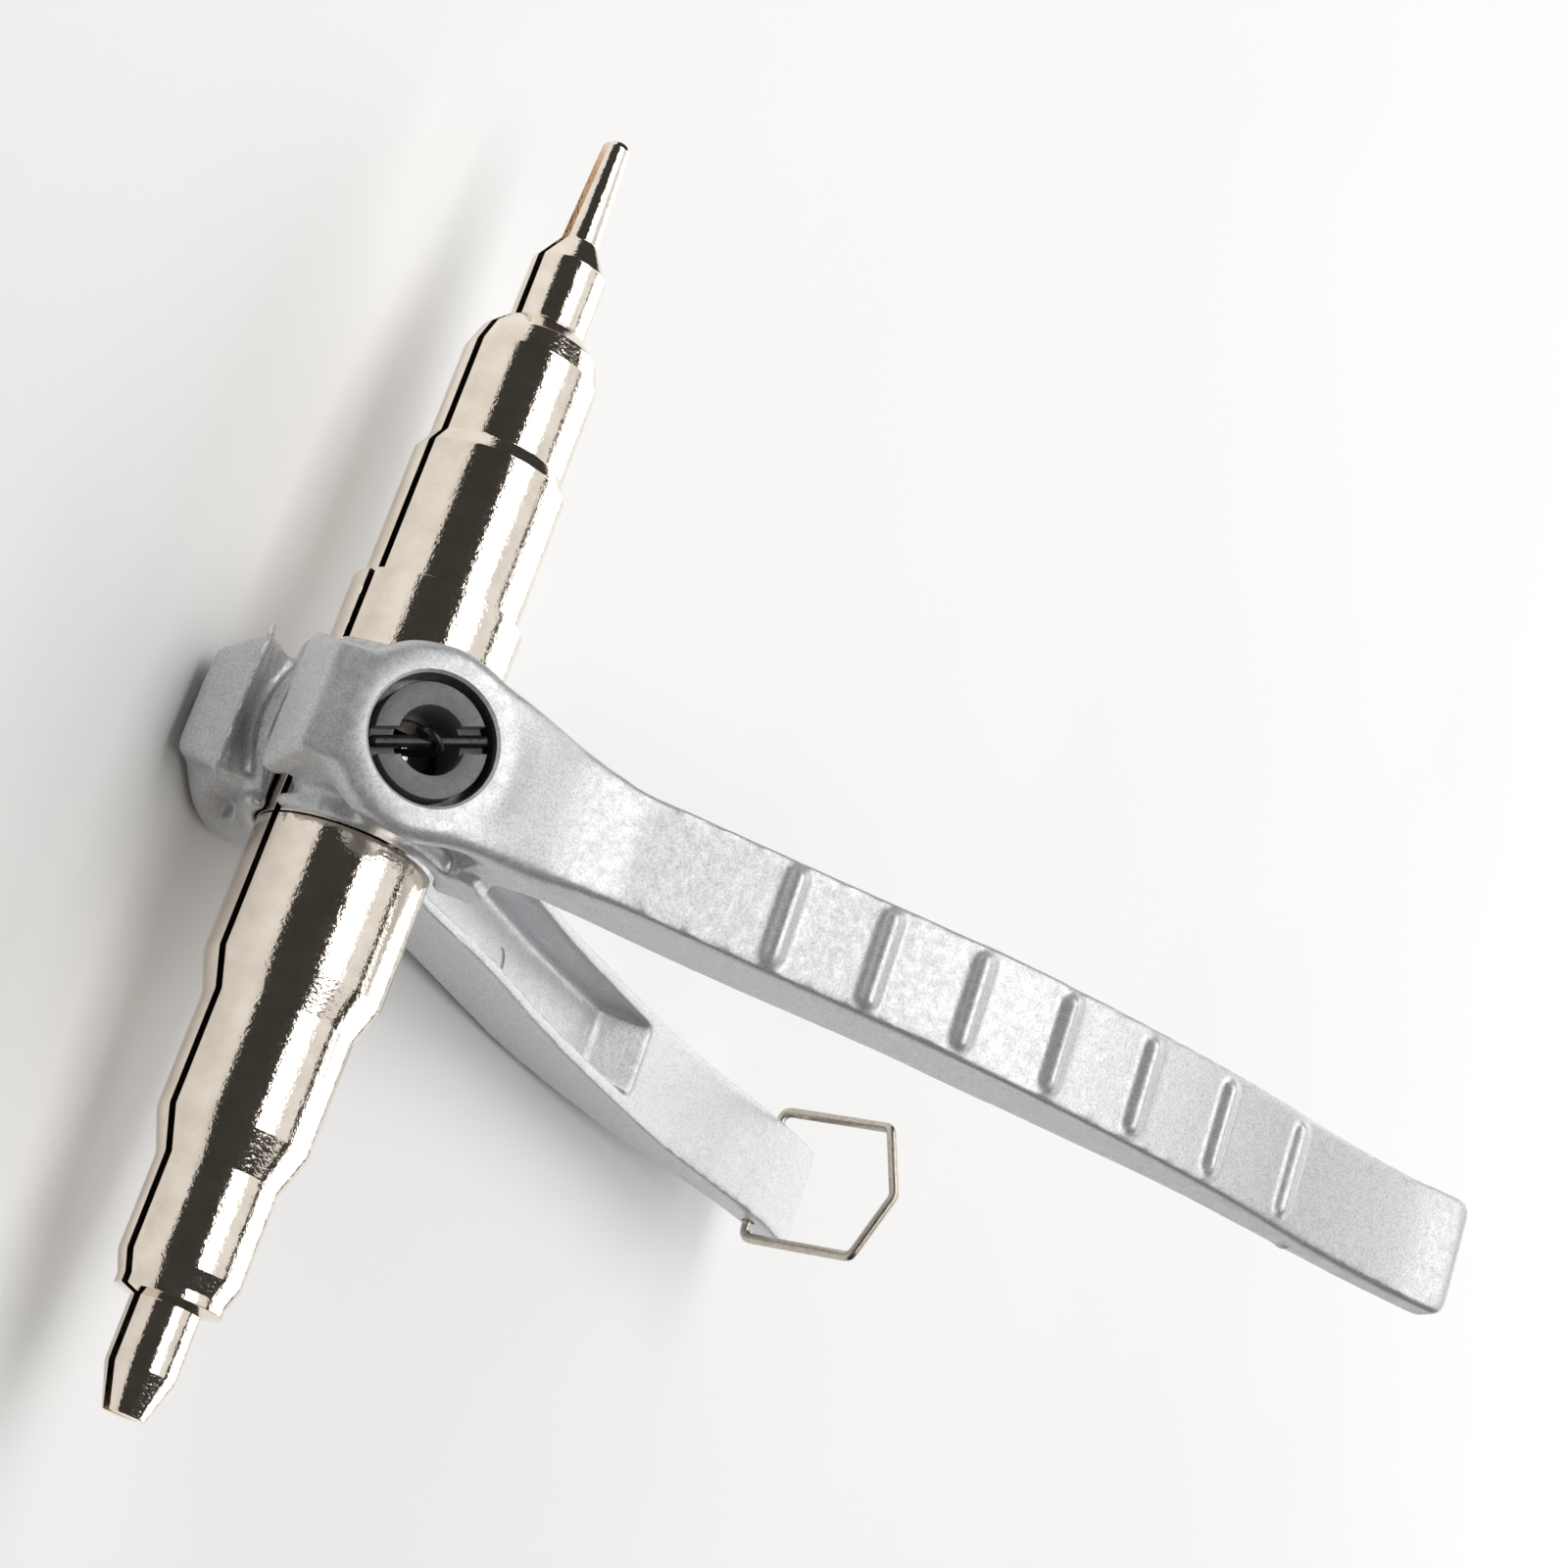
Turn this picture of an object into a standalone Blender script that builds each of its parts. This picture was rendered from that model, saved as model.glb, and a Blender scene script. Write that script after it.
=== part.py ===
"""Hand tube expander: two cast lever handles that spread a split, stepped mandrel.

Frames, in metres:
- the tool frame has its Z axis on the mandrel axis, towards the thin swage, and the plane between
  the two mandrel halves is its XZ plane; the handles point to +X, the front one on the -Y side;
- each casting frame has X along the head, Y outwards from the mandrel and Z on the mandrel axis;
- the world frame lays the tool on the boss of its back casting: X along that head, Y along the
  mandrel towards the thin swage, Z up, with the origin on the flat ring of the boss.
"""
import math

import bmesh
import bpy
from mathutils import Matrix, Vector

MM = 0.001
DEG = math.pi / 180
ROUND = 48                     # facets round a large turned shape
SMALL_ROUND = 20               # facets round a pin, a dowel or a hole
OVERCUT = 1.0 * MM             # how far a cutter runs past what it cuts
THROUGH = 14.0 * MM            # half length of a cutter that runs right through a head
MERGE = 1e-7                   # distance at which spun points are joined

# Opening and motion
HEAD_ANGLE = 20.5 * DEG        # each head from the split plane, handles open
ARM_RAKE = 4.4 * DEG           # the arm leaves its head turned outwards by this
HINGE_OFFSET = 3.6 * MM        # hinge axis from the mandrel axis, on the split plane
SPLIT_GAP = 1.2 * MM           # gap between the closed mandrel halves

# Clearances
GAP = 0.3 * MM                 # between pieces that seat on each other
RUN_GAP = 0.1 * MM             # between a pin or dowel and its hole
SEAM_GAP = 0.2 * MM            # between butted swage faces

# Mandrel: closed radii and the places of the steps along the axis
CORE_R = 10.3 * MM             # journal, collar and largest lower step
CORE_LOW_Z = -10.2 * MM
CORE_TOP_Z = 20.4 * MM
LOWER_STEPS = (                # radius and end of each lower step, with the taper after it
    (CORE_R, -26.5 * MM, -30.9 * MM),
    (8.75 * MM, -44.4 * MM, -49.2 * MM),
    (7.0 * MM, -60.2 * MM, -62.6 * MM),
)
LIP_R = 6.1 * MM
LIP_Z = -63.7 * MM
PILOT_R = 4.0 * MM
PILOT_START_Z = -64.3 * MM
PILOT_END_Z = -71.6 * MM
PILOT_TIP_R = 2.4 * MM
LOWER_TIP_Z = -76.5 * MM
UPPER_STEPS = (                # radius and end of each upper step, with the taper after it
    (9.3 * MM, 37.9 * MM, 39.8 * MM),
    (8.25 * MM, 52.2 * MM, 55.2 * MM),
)
UPPER_SHOULDER_R = 7.3 * MM
UPPER_SHOULDER_LOW_R = 5.5 * MM
UPPER_SHOULDER_LOW_Z = 57.2 * MM
UPPER_NECK_R = 4.65 * MM
UPPER_NECK_START_Z = 57.8 * MM
UPPER_NECK_END_Z = 66.2 * MM
SPIGOT_ROOT_R = 2.4 * MM
SPIGOT_ROOT_Z = 70.0 * MM
SPIGOT_TIP_R = 1.75 * MM
UPPER_TIP_Z = 84.7 * MM
SPIGOT_NOSE = ((1.4 * MM, -0.3 * MM), (0.875 * MM, 0.0))     # round of the nose, from the tip
SPIGOT_STRAIGHT_END = -1.0 * MM

# What is cut out of the inside of the halves
DOWEL_R = 1.5 * MM
DOWEL_HALF = 4.5 * MM
LOWER_DOWEL_HALF = 3.6 * MM
DOWEL_X = -4.4 * MM
DOWEL_Y = 5.2 * MM
KNUCKLE_ROOM = 0.4 * MM        # beside the knuckles
PIN_ROOM = 0.5 * MM
PIN_ROOM_HALF = 5.0 * MM
WINDOW_MARGIN = 3 * DEG        # play of the stud's nose at each end of its groove
WINDOW_DEPTH = 3.0 * MM

# Hinge: knuckles interleave because one casting is the other turned over
PIN_R = 2.0 * MM
PIN_HALF = 9.9 * MM
PIN_GROOVE_R = 1.7 * MM
KNUCKLE_R = 4.0 * MM
NEAR_KNUCKLE = (4.0 * MM, 6.4 * MM)      # span on the +Z side of its own casting
FAR_KNUCKLE = (-9.0 * MM, -6.7 * MM)     # span on the -Z side
WEB_FOOT = 0.4 * MM            # a web's two sides, above the hinge axis, so that the heads can meet
WEB_TOP = 3.1 * MM
WEB_SINK = 2.3 * MM
CLIP_R = 3.1 * MM
CLIP_SPAN = (9.15 * MM, 9.6 * MM)
CLIP_PLAY = 0.05 * MM          # in the pin's groove
CLIP_MOUTH = 60 * DEG

# Head casting
SADDLE_R = CORE_R + GAP
HEAD_LEFT = -14.8 * MM
HEAD_RIGHT = 15.8 * MM
HEAD_FACE = 17.3 * MM
HEAD_FACE_RIGHT = 9.0 * MM
FLASH_Y = 9.2 * MM             # parting line at the head's blunt end
HEAD_HALF = 7.7 * MM           # half height of the block at the parting line
HEAD_FACE_HALF = 6.7 * MM
HEAD_INNER = -0.75 * MM        # inner side of the shoulder, just clear of the other head when closed
HEAD_WAIST = (-6.0 * MM, 7.0 * MM)       # where the blunt end's underside meets the saddle
HEAD_SLOPE_Y = 12.6 * MM       # the outer face slopes down to this at the arm's end
HEAD_DRAFT = 1.0 * MM          # lean of the blunt end
POST_WIDTH = 2.8 * MM
POST_HALF = 9.4 * MM
RIM_R = 13.0 * MM
RIM_SPAN = (8.9 * MM, 10.5 * MM)
RIM_START = 6 * DEG
RIM_END = 150 * DEG
RIM_ROOT_R = 9.6 * MM          # the rim's stock before the saddle is bored
LUG_OUTLINE = ((9.5, 1.5), (15.8, 2.0), (15.8, 5.8), (12.5, 9.5), (8.5, 9.8))
LUG_LOW = 6.0 * MM
BOSS_R = 11.5 * MM
BOSS_FOOT_R = 12.4 * MM
BOSS_FACE = 18.85 * MM
BOSS_EDGE = 1.8 * MM           # chamfer round the boss face
BOSS_FOOT_Y = 6.0 * MM
NECK_TOP = ((5.0, 18.2), (12.0, 17.0), (18.0, 14.9), (26.0, 13.0))       # fall from the boss to the arm
NECK_LOW_Y = 7.0 * MM
NECK_HALF = (9.8 * MM, 6.4 * MM)         # half width at its two ends
BOSS_STRAIGHT_Y = 15.6 * MM
BOSS_TRIM = ((-20.0 * MM, 3.0 * MM), (20.0 * MM, 14.6 * MM))  # keeps the boss's foot inside the rims
BOSS_TRIM_END = 16.0 * MM

# Spring stud and its hole
COUNTERBORE_R = 7.4 * MM
COUNTERBORE_Y = 14.2 * MM
STUD_RING_R = 6.5 * MM
STUD_FACE = 18.1 * MM
STUD_BODY_R = 5.2 * MM
STUD_NOSE_R = 4.6 * MM
STUD_NOSE_Y = 9.6 * MM
STUD_BORE_R = 3.9 * MM
SLOT_WIDTH = 3.0 * MM
SLOT_DEPTH = 1.7 * MM
SLOT_TURN = 25 * DEG           # the slot's lean from the casting's X axis
STUD_HOLE_START = 2.0 * MM
CROSS_PIN_R = 0.7 * MM
CROSS_PIN_HALF = 6.9 * MM
CROSS_PIN_Y = STUD_FACE - SLOT_DEPTH + CROSS_PIN_R + RUN_GAP

# Return spring between the two cross pins
WIRE_R = 0.45 * MM
COIL_R = 1.6 * MM              # to the middle of the wire
COIL_TURNS = 10
COIL_PITCH = 1.06 * MM
POINTS_PER_TURN = 10
HOOK_LEAN = 38 * DEG           # lean of each end hook across its cross pin
HOOK_START = -10 * DEG
HOOK_SWEEP = 210 * DEG
HOOK_STEPS = 10
HOOK_LEAD = ((1.2, 0.9, 0.56), (0.1, 2.2, 0.94))     # wire from the coil's end towards the hook, mm
HOOK_DROP = 2.0 * MM           # straight run down from the hook

# Arm: outlines in the arm frame, whose X axis is the flat of the grip
ARM_OUTER = ((12.0, 13.3), (24.0, 12.4), (50.0, 12.35), (72.0, 12.3), (93.0, 10.0), (113.0, 5.9),
             (130.0, 0.5), (142.0, -2.2), (151.3, -2.9))
ARM_INNER = ((12.0, 0.6), (24.0, 1.4), (45.0, 0.4), (67.0, 0.9), (88.0, 0.1), (108.0, -1.3),
             (125.0, -4.6), (139.0, -7.3), (151.3, -8.0))
ARM_HALF_START = 6.8 * MM      # half width at the head end
ARM_HALF_END = 7.6 * MM        # half width at the free end
ARM_CORNER = 2.2 * MM          # round corners of the free end
CORNER_STEPS = 5
SPLINE_STEPS = 4
POCKET_HALF = 5.2 * MM
POCKET_START = 24.0 * MM
POCKET_END = 96.0 * MM
POCKET_END_LEAN = 5.0 * MM
POCKET_WALL = 3.9 * MM         # metal left behind the pocket
POCKET_MOUTH_DROP = 3.0 * MM   # how far the cutter runs past the mouth at the head end
RIB_COUNT = 7
RIB_FIRST = 47.7 * MM
RIB_PITCH = 12.4 * MM
RIB_HALF = 6.2 * MM            # half length with its round ends
RIB_R = 1.3 * MM
RIB_HEIGHT = 0.9 * MM
RIB_SIDES = 10
RIB_RINGS = 7
NUB_X = 127.0 * MM
NUB_RISE = 1.6 * MM            # above the inner face
NUB_R = 0.9 * MM
NUB_HEIGHT = 0.5 * MM

# Wire bail on the back handle
BAIL_X = 141.0 * MM            # pivot along the arm
BAIL_WIRE_R = 0.75 * MM
BAIL_REACH = 19.0 * MM         # pivot to the corners
BAIL_PEAK = 4.0 * MM           # the cross bar's middle beyond the corners
BAIL_END_DEPTH = 2.5 * MM      # the wire's ends inside the handle
BAIL_ANGLE = -103.5 * DEG      # from the arm's X axis
BAIL_SIDE_GAP = 1.7 * MM
BAIL_BEND_R = 1.65 * MM
BEND_STEPS = 4

FINISHES = {
    "cast": ((0.80, 0.82, 0.84), 0.42, 0.85),
    "nickel": ((0.83, 0.78, 0.72), 0.18, 1.0),
    "steel": ((0.55, 0.55, 0.56), 0.30, 1.0),
    "phosphate": ((0.16, 0.165, 0.17), 0.55, 0.6),
    "black": ((0.03, 0.03, 0.032), 0.30, 0.5),
    "wire": ((0.62, 0.57, 0.50), 0.32, 1.0),
}


def clear_scene():
    for old in list(bpy.data.objects):
        bpy.data.objects.remove(old, do_unlink=True)


def material(node, finish):
    colour, roughness, metallic = FINISHES[finish]
    mat = bpy.data.materials.new(node)
    mat.use_nodes = True
    shader = mat.node_tree.nodes["Principled BSDF"]
    shader.inputs["Base Color"].default_value = (*colour, 1.0)
    shader.inputs["Roughness"].default_value = roughness
    shader.inputs["Metallic"].default_value = metallic
    return mat


def link(name, mesh, parent):
    piece = bpy.data.objects.new(name, mesh)
    bpy.context.collection.objects.link(piece)
    piece.parent = parent
    return piece


def finish_mesh(bm, name):
    bmesh.ops.recalc_face_normals(bm, faces=bm.faces)
    mesh = bpy.data.meshes.new(name)
    bm.to_mesh(mesh)
    bm.free()
    return mesh


def node(name, mesh, parent, finish):
    piece = link(name, mesh, parent)
    mesh.materials.append(material(name, finish))
    mesh.shade_smooth()
    mesh.set_sharp_from_angle(angle=35 * DEG)
    return piece


def empty(name, parent, matrix):
    frame = link(name, None, parent)
    frame.matrix_local = matrix
    return frame


def tool(name, mesh, parent):
    """A shape that only adds to or cuts another one."""
    shape = link(name, mesh, parent)
    shape.hide_render = True
    shape.display_type = "WIRE"
    return shape


def combine(piece, other, operation):
    step = piece.modifiers.new(other.name, "BOOLEAN")
    step.operation = operation
    step.solver = "EXACT"
    step.object = other


def add(piece, mesh):
    combine(piece, tool(piece.name + "." + mesh.name, mesh, piece.parent), "UNION")


def cut(piece, mesh):
    combine(piece, tool(piece.name + "." + mesh.name, mesh, piece.parent), "DIFFERENCE")


def prism(name, outline, half_at, low=None):
    """Extrude an XY outline along Z. half_at(x) is the half height, or the top when low is given."""
    bm = bmesh.new()
    bottom = [bm.verts.new((x, y, -half_at(x) if low is None else low)) for x, y in outline]
    top = [bm.verts.new((x, y, half_at(x))) for x, y in outline]
    bm.faces.new(bottom)
    bm.faces.new(top)
    for i in range(len(outline)):
        j = (i + 1) % len(outline)
        bm.faces.new((bottom[i], bottom[j], top[j], top[i]))
    return finish_mesh(bm, name)


def slab(name, outline, low, high):
    return prism(name, outline, lambda x: high, low)


def box(name, low, high):
    corners = [(low[0], low[1]), (high[0], low[1]), (high[0], high[1]), (low[0], high[1])]
    return slab(name, corners, low[2], high[2])


def turned(name, profile, segments, along_y=False):
    """Spin a closed or axis-to-axis profile of (radius, place) points about Z, or about Y."""
    bm = bmesh.new()
    verts = [bm.verts.new((r, 0, z)) for r, z in profile]
    edges = [bm.edges.new(pair) for pair in zip(verts, verts[1:])]
    if profile[0][0] > 0 and profile[-1][0] > 0:
        edges.append(bm.edges.new((verts[-1], verts[0])))
    bmesh.ops.spin(bm, geom=verts + edges, cent=(0, 0, 0), axis=(0, 0, 1), angle=2 * math.pi,
                   steps=segments, use_merge=True)
    bmesh.ops.remove_doubles(bm, verts=bm.verts, dist=MERGE)
    if along_y:
        bmesh.ops.rotate(bm, verts=bm.verts, matrix=Matrix.Rotation(-90 * DEG, 3, "X"))
    return finish_mesh(bm, name)


def rod(name, radius, low, high, segments, at=(0, 0)):
    mesh = turned(name, ((0, low), (radius, low), (radius, high), (0, high)), segments)
    mesh.transform(Matrix.Translation((at[0], at[1], 0)))
    return mesh


def arc(radius, start, end, steps, centre=(0, 0)):
    turns = (start + (end - start) * i / steps for i in range(steps + 1))
    return [(centre[0] + radius * math.cos(a), centre[1] + radius * math.sin(a)) for a in turns]


def smooth_line(knots):
    """A Catmull-Rom line through knots in millimetres."""
    points = [Vector(k) * MM for k in knots]
    ends = [2 * points[0] - points[1]] + points + [2 * points[-1] - points[-2]]
    line = []
    for i in range(1, len(points)):
        a, b, c, d = ends[i - 1:i + 3]
        for step in range(SPLINE_STEPS):
            t = step / SPLINE_STEPS
            line.append(0.5 * (2 * b + (c - a) * t + (2 * a - 5 * b + 4 * c - d) * t ** 2
                               + (3 * b - a - 3 * c + d) * t ** 3))
    return line + [points[-1]]


def height_on(line, x):
    for a, b in zip(line, line[1:]):
        if a.x <= x <= b.x:
            return a.y + (b.y - a.y) * (x - a.x) / (b.x - a.x)
    return line[-1].y


OUTER_LINE = smooth_line(ARM_OUTER)
INNER_LINE = smooth_line(ARM_INNER)
ARM_END = OUTER_LINE[-1].x
ARM_START = OUTER_LINE[0].x


def arm_half(x):
    share = (x - ARM_START) / (ARM_END - ARM_START)
    return ARM_HALF_START + (ARM_HALF_END - ARM_HALF_START) * share


def raked(mesh):
    """Turn a shape from the arm frame into its casting frame."""
    mesh.transform(Matrix.Rotation(ARM_RAKE, 4, "Z"))
    return mesh


def arm_mesh():
    outline = [tuple(p) for p in OUTER_LINE] + [tuple(p) for p in reversed(INNER_LINE)]
    return raked(prism("arm", outline, arm_half))


def end_corner_mesh(side):
    """Cuts one square corner of the free end to a round one."""
    half = arm_half(ARM_END)
    centre = (ARM_END - ARM_CORNER, half - ARM_CORNER)
    outline = arc(ARM_CORNER, 0, 90 * DEG, CORNER_STEPS, centre)
    beyond = (ARM_END + OVERCUT, half + OVERCUT)
    outline += [(centre[0], beyond[1]), beyond, (beyond[0], centre[1])]
    mesh = slab("end_corner", outline, INNER_LINE[-1].y - 4 * OVERCUT, OUTER_LINE[-1].y + 4 * OVERCUT)
    mesh.transform(Matrix.Rotation(90 * DEG, 4, "X") @ Matrix.Diagonal((1, side, -1, 1)))
    bm = bmesh.new()
    bm.from_mesh(mesh)
    return raked(finish_mesh(bm, "end_corner"))


def pocket_mesh():
    floor = [p for p in OUTER_LINE if POCKET_START < p.x < POCKET_END - POCKET_END_LEAN]
    depth = [(p.x, p.y - POCKET_WALL) for p in floor]
    last = POCKET_END - POCKET_END_LEAN
    mouth = height_on(INNER_LINE, POCKET_END)
    outline = [(POCKET_START, height_on(OUTER_LINE, POCKET_START) - POCKET_WALL)] + depth
    outline += [(last, height_on(OUTER_LINE, last) - POCKET_WALL), (POCKET_END, mouth)]
    outline += [(POCKET_END + OVERCUT, mouth - OVERCUT), (POCKET_START, mouth - POCKET_MOUTH_DROP)]
    return raked(prism("pocket", outline, lambda x: POCKET_HALF))


def rib_mesh(index):
    """A round-ended rib, half sunk in the outer face."""
    x = RIB_FIRST + index * RIB_PITCH
    bm = bmesh.new()
    bmesh.ops.create_uvsphere(bm, u_segments=RIB_SIDES, v_segments=RIB_RINGS, radius=RIB_R)
    stretch = RIB_HALF - RIB_R
    for vert in bm.verts:
        vert.co.z += stretch if vert.co.z > 0 else -stretch
    place = Matrix.Translation((x, height_on(OUTER_LINE, x) - RIB_R + RIB_HEIGHT, 0))
    bmesh.ops.transform(bm, verts=bm.verts, matrix=place)
    return raked(finish_mesh(bm, "rib%d" % index))


def head_block_mesh():
    """A block that tapers from the parting line to its outer face; each end cap is two flat faces."""
    outline = [(HEAD_LEFT, FLASH_Y), HEAD_WAIST, (0, HEAD_INNER), (HEAD_RIGHT, HEAD_INNER),
               (HEAD_RIGHT, FLASH_Y), (HEAD_RIGHT, HEAD_SLOPE_Y), (HEAD_FACE_RIGHT, HEAD_FACE),
               (HEAD_LEFT + HEAD_DRAFT, HEAD_FACE)]
    below = 5
    bm = bmesh.new()
    rings = []
    for sign in (-1, 1):
        rings.append([])
        for x, y in outline:
            above = max(0.0, (y - FLASH_Y) / (HEAD_FACE - FLASH_Y))
            half = HEAD_HALF + (HEAD_FACE_HALF - HEAD_HALF) * above
            rings[-1].append(bm.verts.new((x, y, sign * half)))
    for ring in rings:
        bm.faces.new(ring[:below])
        bm.faces.new([ring[0]] + ring[below - 1:])
    for i in range(len(outline)):
        j = (i + 1) % len(outline)
        bm.faces.new((rings[0][i], rings[0][j], rings[1][j], rings[1][i]))
    return finish_mesh(bm, "head")


def post_mesh():
    """The taller wall at the head's blunt end."""
    bm = bmesh.new()
    bmesh.ops.create_cube(bm, size=1.0)
    for vert in bm.verts:
        outer = vert.co.y > 0
        side = 1 if vert.co.z > 0 else -1
        inside = vert.co.x > 0
        draft = HEAD_DRAFT if outer else 0.0
        vert.co.x = HEAD_LEFT + (POST_WIDTH if inside else draft)
        vert.co.y = HEAD_FACE - HEAD_DRAFT if outer else FLASH_Y
        vert.co.z = side * (HEAD_FACE_HALF if outer else POST_HALF)
    return finish_mesh(bm, "post")


def rim_mesh(side):
    outline = arc(RIM_R, RIM_START, RIM_END, SMALL_ROUND)
    outline += arc(RIM_ROOT_R, RIM_END, RIM_START, SMALL_ROUND)
    low, high = sorted((side * RIM_SPAN[0], side * RIM_SPAN[1]))
    return slab("rim", outline, low, high)


def lug_mesh(side):
    """The shoulder that carries a rim into the arm."""
    outline = [(x * MM, y * MM) for x, y in LUG_OUTLINE]
    low, high = sorted((side * LUG_LOW, side * RIM_SPAN[1]))
    return slab("lug", outline, low, high)


def boss_mesh():
    profile = ((0, BOSS_FOOT_Y), (BOSS_FOOT_R, BOSS_FOOT_Y), (BOSS_R, BOSS_STRAIGHT_Y),
               (BOSS_R, BOSS_FACE - BOSS_EDGE), (BOSS_R - BOSS_EDGE, BOSS_FACE), (0, BOSS_FACE))
    return turned("boss", profile, ROUND, along_y=True)


def neck_mesh():
    """Metal that carries the boss into the arm."""
    top = [(x * MM, y * MM) for x, y in NECK_TOP]
    start, end = top[0][0], top[-1][0]
    slope = (NECK_HALF[1] - NECK_HALF[0]) / (end - start)
    outline = [(start, NECK_LOW_Y)] + top + [(end, NECK_LOW_Y)]
    return prism("neck", outline, lambda x: NECK_HALF[0] + slope * (x - start))


def boss_trim_mesh(side):
    low, high = sorted((side * RIM_SPAN[1], side * BOSS_TRIM_END))
    return box("boss_trim", (*BOSS_TRIM[0], low), (*BOSS_TRIM[1], high))


def stud_hole_mesh():
    hole_r = STUD_BODY_R + GAP
    top = BOSS_FACE + OVERCUT
    profile = ((0, STUD_HOLE_START), (hole_r, STUD_HOLE_START), (hole_r, COUNTERBORE_Y),
               (COUNTERBORE_R, COUNTERBORE_Y), (COUNTERBORE_R, top), (0, top))
    return turned("stud_hole", profile, ROUND, along_y=True)


def hinge_in_casting():
    """The hinge axis in a casting frame."""
    return (HINGE_OFFSET * math.cos(HEAD_ANGLE), -HINGE_OFFSET * math.sin(HEAD_ANGLE))


def knuckle_mesh(span, index):
    x, y = hinge_in_casting()
    outline = arc(KNUCKLE_R, 60 * DEG, 300 * DEG, 14, (x, y))
    end = HEAD_RIGHT - WEB_SINK
    outline += [(x + KNUCKLE_R, y + WEB_FOOT), (end, y + WEB_FOOT), (end, y + WEB_TOP),
                (x + KNUCKLE_R, y + WEB_TOP)]
    return slab("knuckle%d" % index, outline, *span)


def build_casting(name, frame, has_bail):
    casting = node(name, arm_mesh(), frame, "cast")
    add(casting, head_block_mesh())
    add(casting, post_mesh())
    for side in (-1, 1):
        add(casting, rim_mesh(side))
        add(casting, lug_mesh(side))
    add(casting, boss_mesh())
    add(casting, neck_mesh())
    for side in (-1, 1):
        cut(casting, boss_trim_mesh(side))
    cut(casting, rod("saddle", SADDLE_R, -THROUGH, THROUGH, ROUND))
    cut(casting, pocket_mesh())
    cut(casting, stud_hole_mesh())
    for index, span in enumerate((NEAR_KNUCKLE, FAR_KNUCKLE)):
        add(casting, knuckle_mesh(span, index))
    bore_r = PIN_R + RUN_GAP
    cut(casting, rod("hinge_bore", bore_r, -THROUGH, THROUGH, SMALL_ROUND, hinge_in_casting()))
    for index in range(RIB_COUNT):
        add(casting, rib_mesh(index))
    for side in (-1, 1):
        cut(casting, end_corner_mesh(side))
        if has_bail:
            cut(casting, bail_hole_mesh(side))
        else:
            add(casting, nub_mesh(side))
    return casting


def bail_pivot_y():
    return 0.5 * (height_on(OUTER_LINE, BAIL_X) + height_on(INNER_LINE, BAIL_X))


def bail_hole_mesh(side):
    face = arm_half(BAIL_X)
    low, high = sorted((side * (face - BAIL_END_DEPTH - GAP), side * (face + OVERCUT)))
    pivot = (BAIL_X, bail_pivot_y())
    return raked(rod("bail_hole", BAIL_WIRE_R + GAP, low, high, SMALL_ROUND, pivot))


def nub_mesh(side):
    """A small catch on the side of the arm, which the bail snaps over."""
    bm = bmesh.new()
    bmesh.ops.create_uvsphere(bm, u_segments=10, v_segments=8, radius=NUB_R)
    y = height_on(INNER_LINE, NUB_X) + NUB_RISE
    z = side * (arm_half(NUB_X) - NUB_R + NUB_HEIGHT)
    bmesh.ops.translate(bm, verts=bm.verts, vec=(NUB_X, y, z))
    return raked(finish_mesh(bm, "nub"))


def half_of(mesh, side):
    """Keep the part of a turned mesh beyond the split gap on one side, and close the flat."""
    bm = bmesh.new()
    bm.from_mesh(mesh)
    geometry = bm.verts[:] + bm.edges[:] + bm.faces[:]
    bmesh.ops.bisect_plane(bm, geom=geometry, dist=MERGE, plane_co=(0, side * SPLIT_GAP / 2, 0),
                           plane_no=(0, side, 0), clear_inner=True)
    rim = [edge for edge in bm.edges if edge.is_boundary]
    bmesh.ops.holes_fill(bm, edges=rim, sides=0)
    return finish_mesh(bm, mesh.name)


def lower_profile():
    points = [(0, CORE_LOW_Z - SEAM_GAP), (LOWER_STEPS[0][0], CORE_LOW_Z - SEAM_GAP)]
    following = [step[0] for step in LOWER_STEPS[1:]] + [LIP_R]
    for (radius, end, taper), after in zip(LOWER_STEPS, following):
        points += [(radius, end), (after, taper)]
    points += [(LIP_R, LIP_Z), (PILOT_R, PILOT_START_Z), (PILOT_R, PILOT_END_Z),
               (PILOT_TIP_R, LOWER_TIP_Z), (0, LOWER_TIP_Z)]
    return points


def upper_profile():
    base = CORE_TOP_Z + SEAM_GAP
    points = [(0, base), (UPPER_STEPS[0][0], base)]
    following = [step[0] for step in UPPER_STEPS[1:]] + [UPPER_SHOULDER_R]
    for (radius, end, taper), after in zip(UPPER_STEPS, following):
        points += [(radius, end), (after, taper)]
    points += [(UPPER_SHOULDER_LOW_R, UPPER_SHOULDER_LOW_Z), (UPPER_NECK_R, UPPER_NECK_START_Z),
               (UPPER_NECK_R, UPPER_NECK_END_Z), (SPIGOT_ROOT_R, SPIGOT_ROOT_Z),
               (SPIGOT_TIP_R, UPPER_TIP_Z + SPIGOT_STRAIGHT_END)]
    points += [(radius, UPPER_TIP_Z + back) for radius, back in SPIGOT_NOSE]
    return points + [(0, UPPER_TIP_Z)]


def dowel_hole(z, half, side):
    """A hole for a dowel of this half length, with play at its ends."""
    low = z - half - GAP
    high = z + half + GAP
    return rod("dowel_hole", DOWEL_R + RUN_GAP, low, high, SMALL_ROUND, (DOWEL_X, side * DOWEL_Y))


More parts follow.
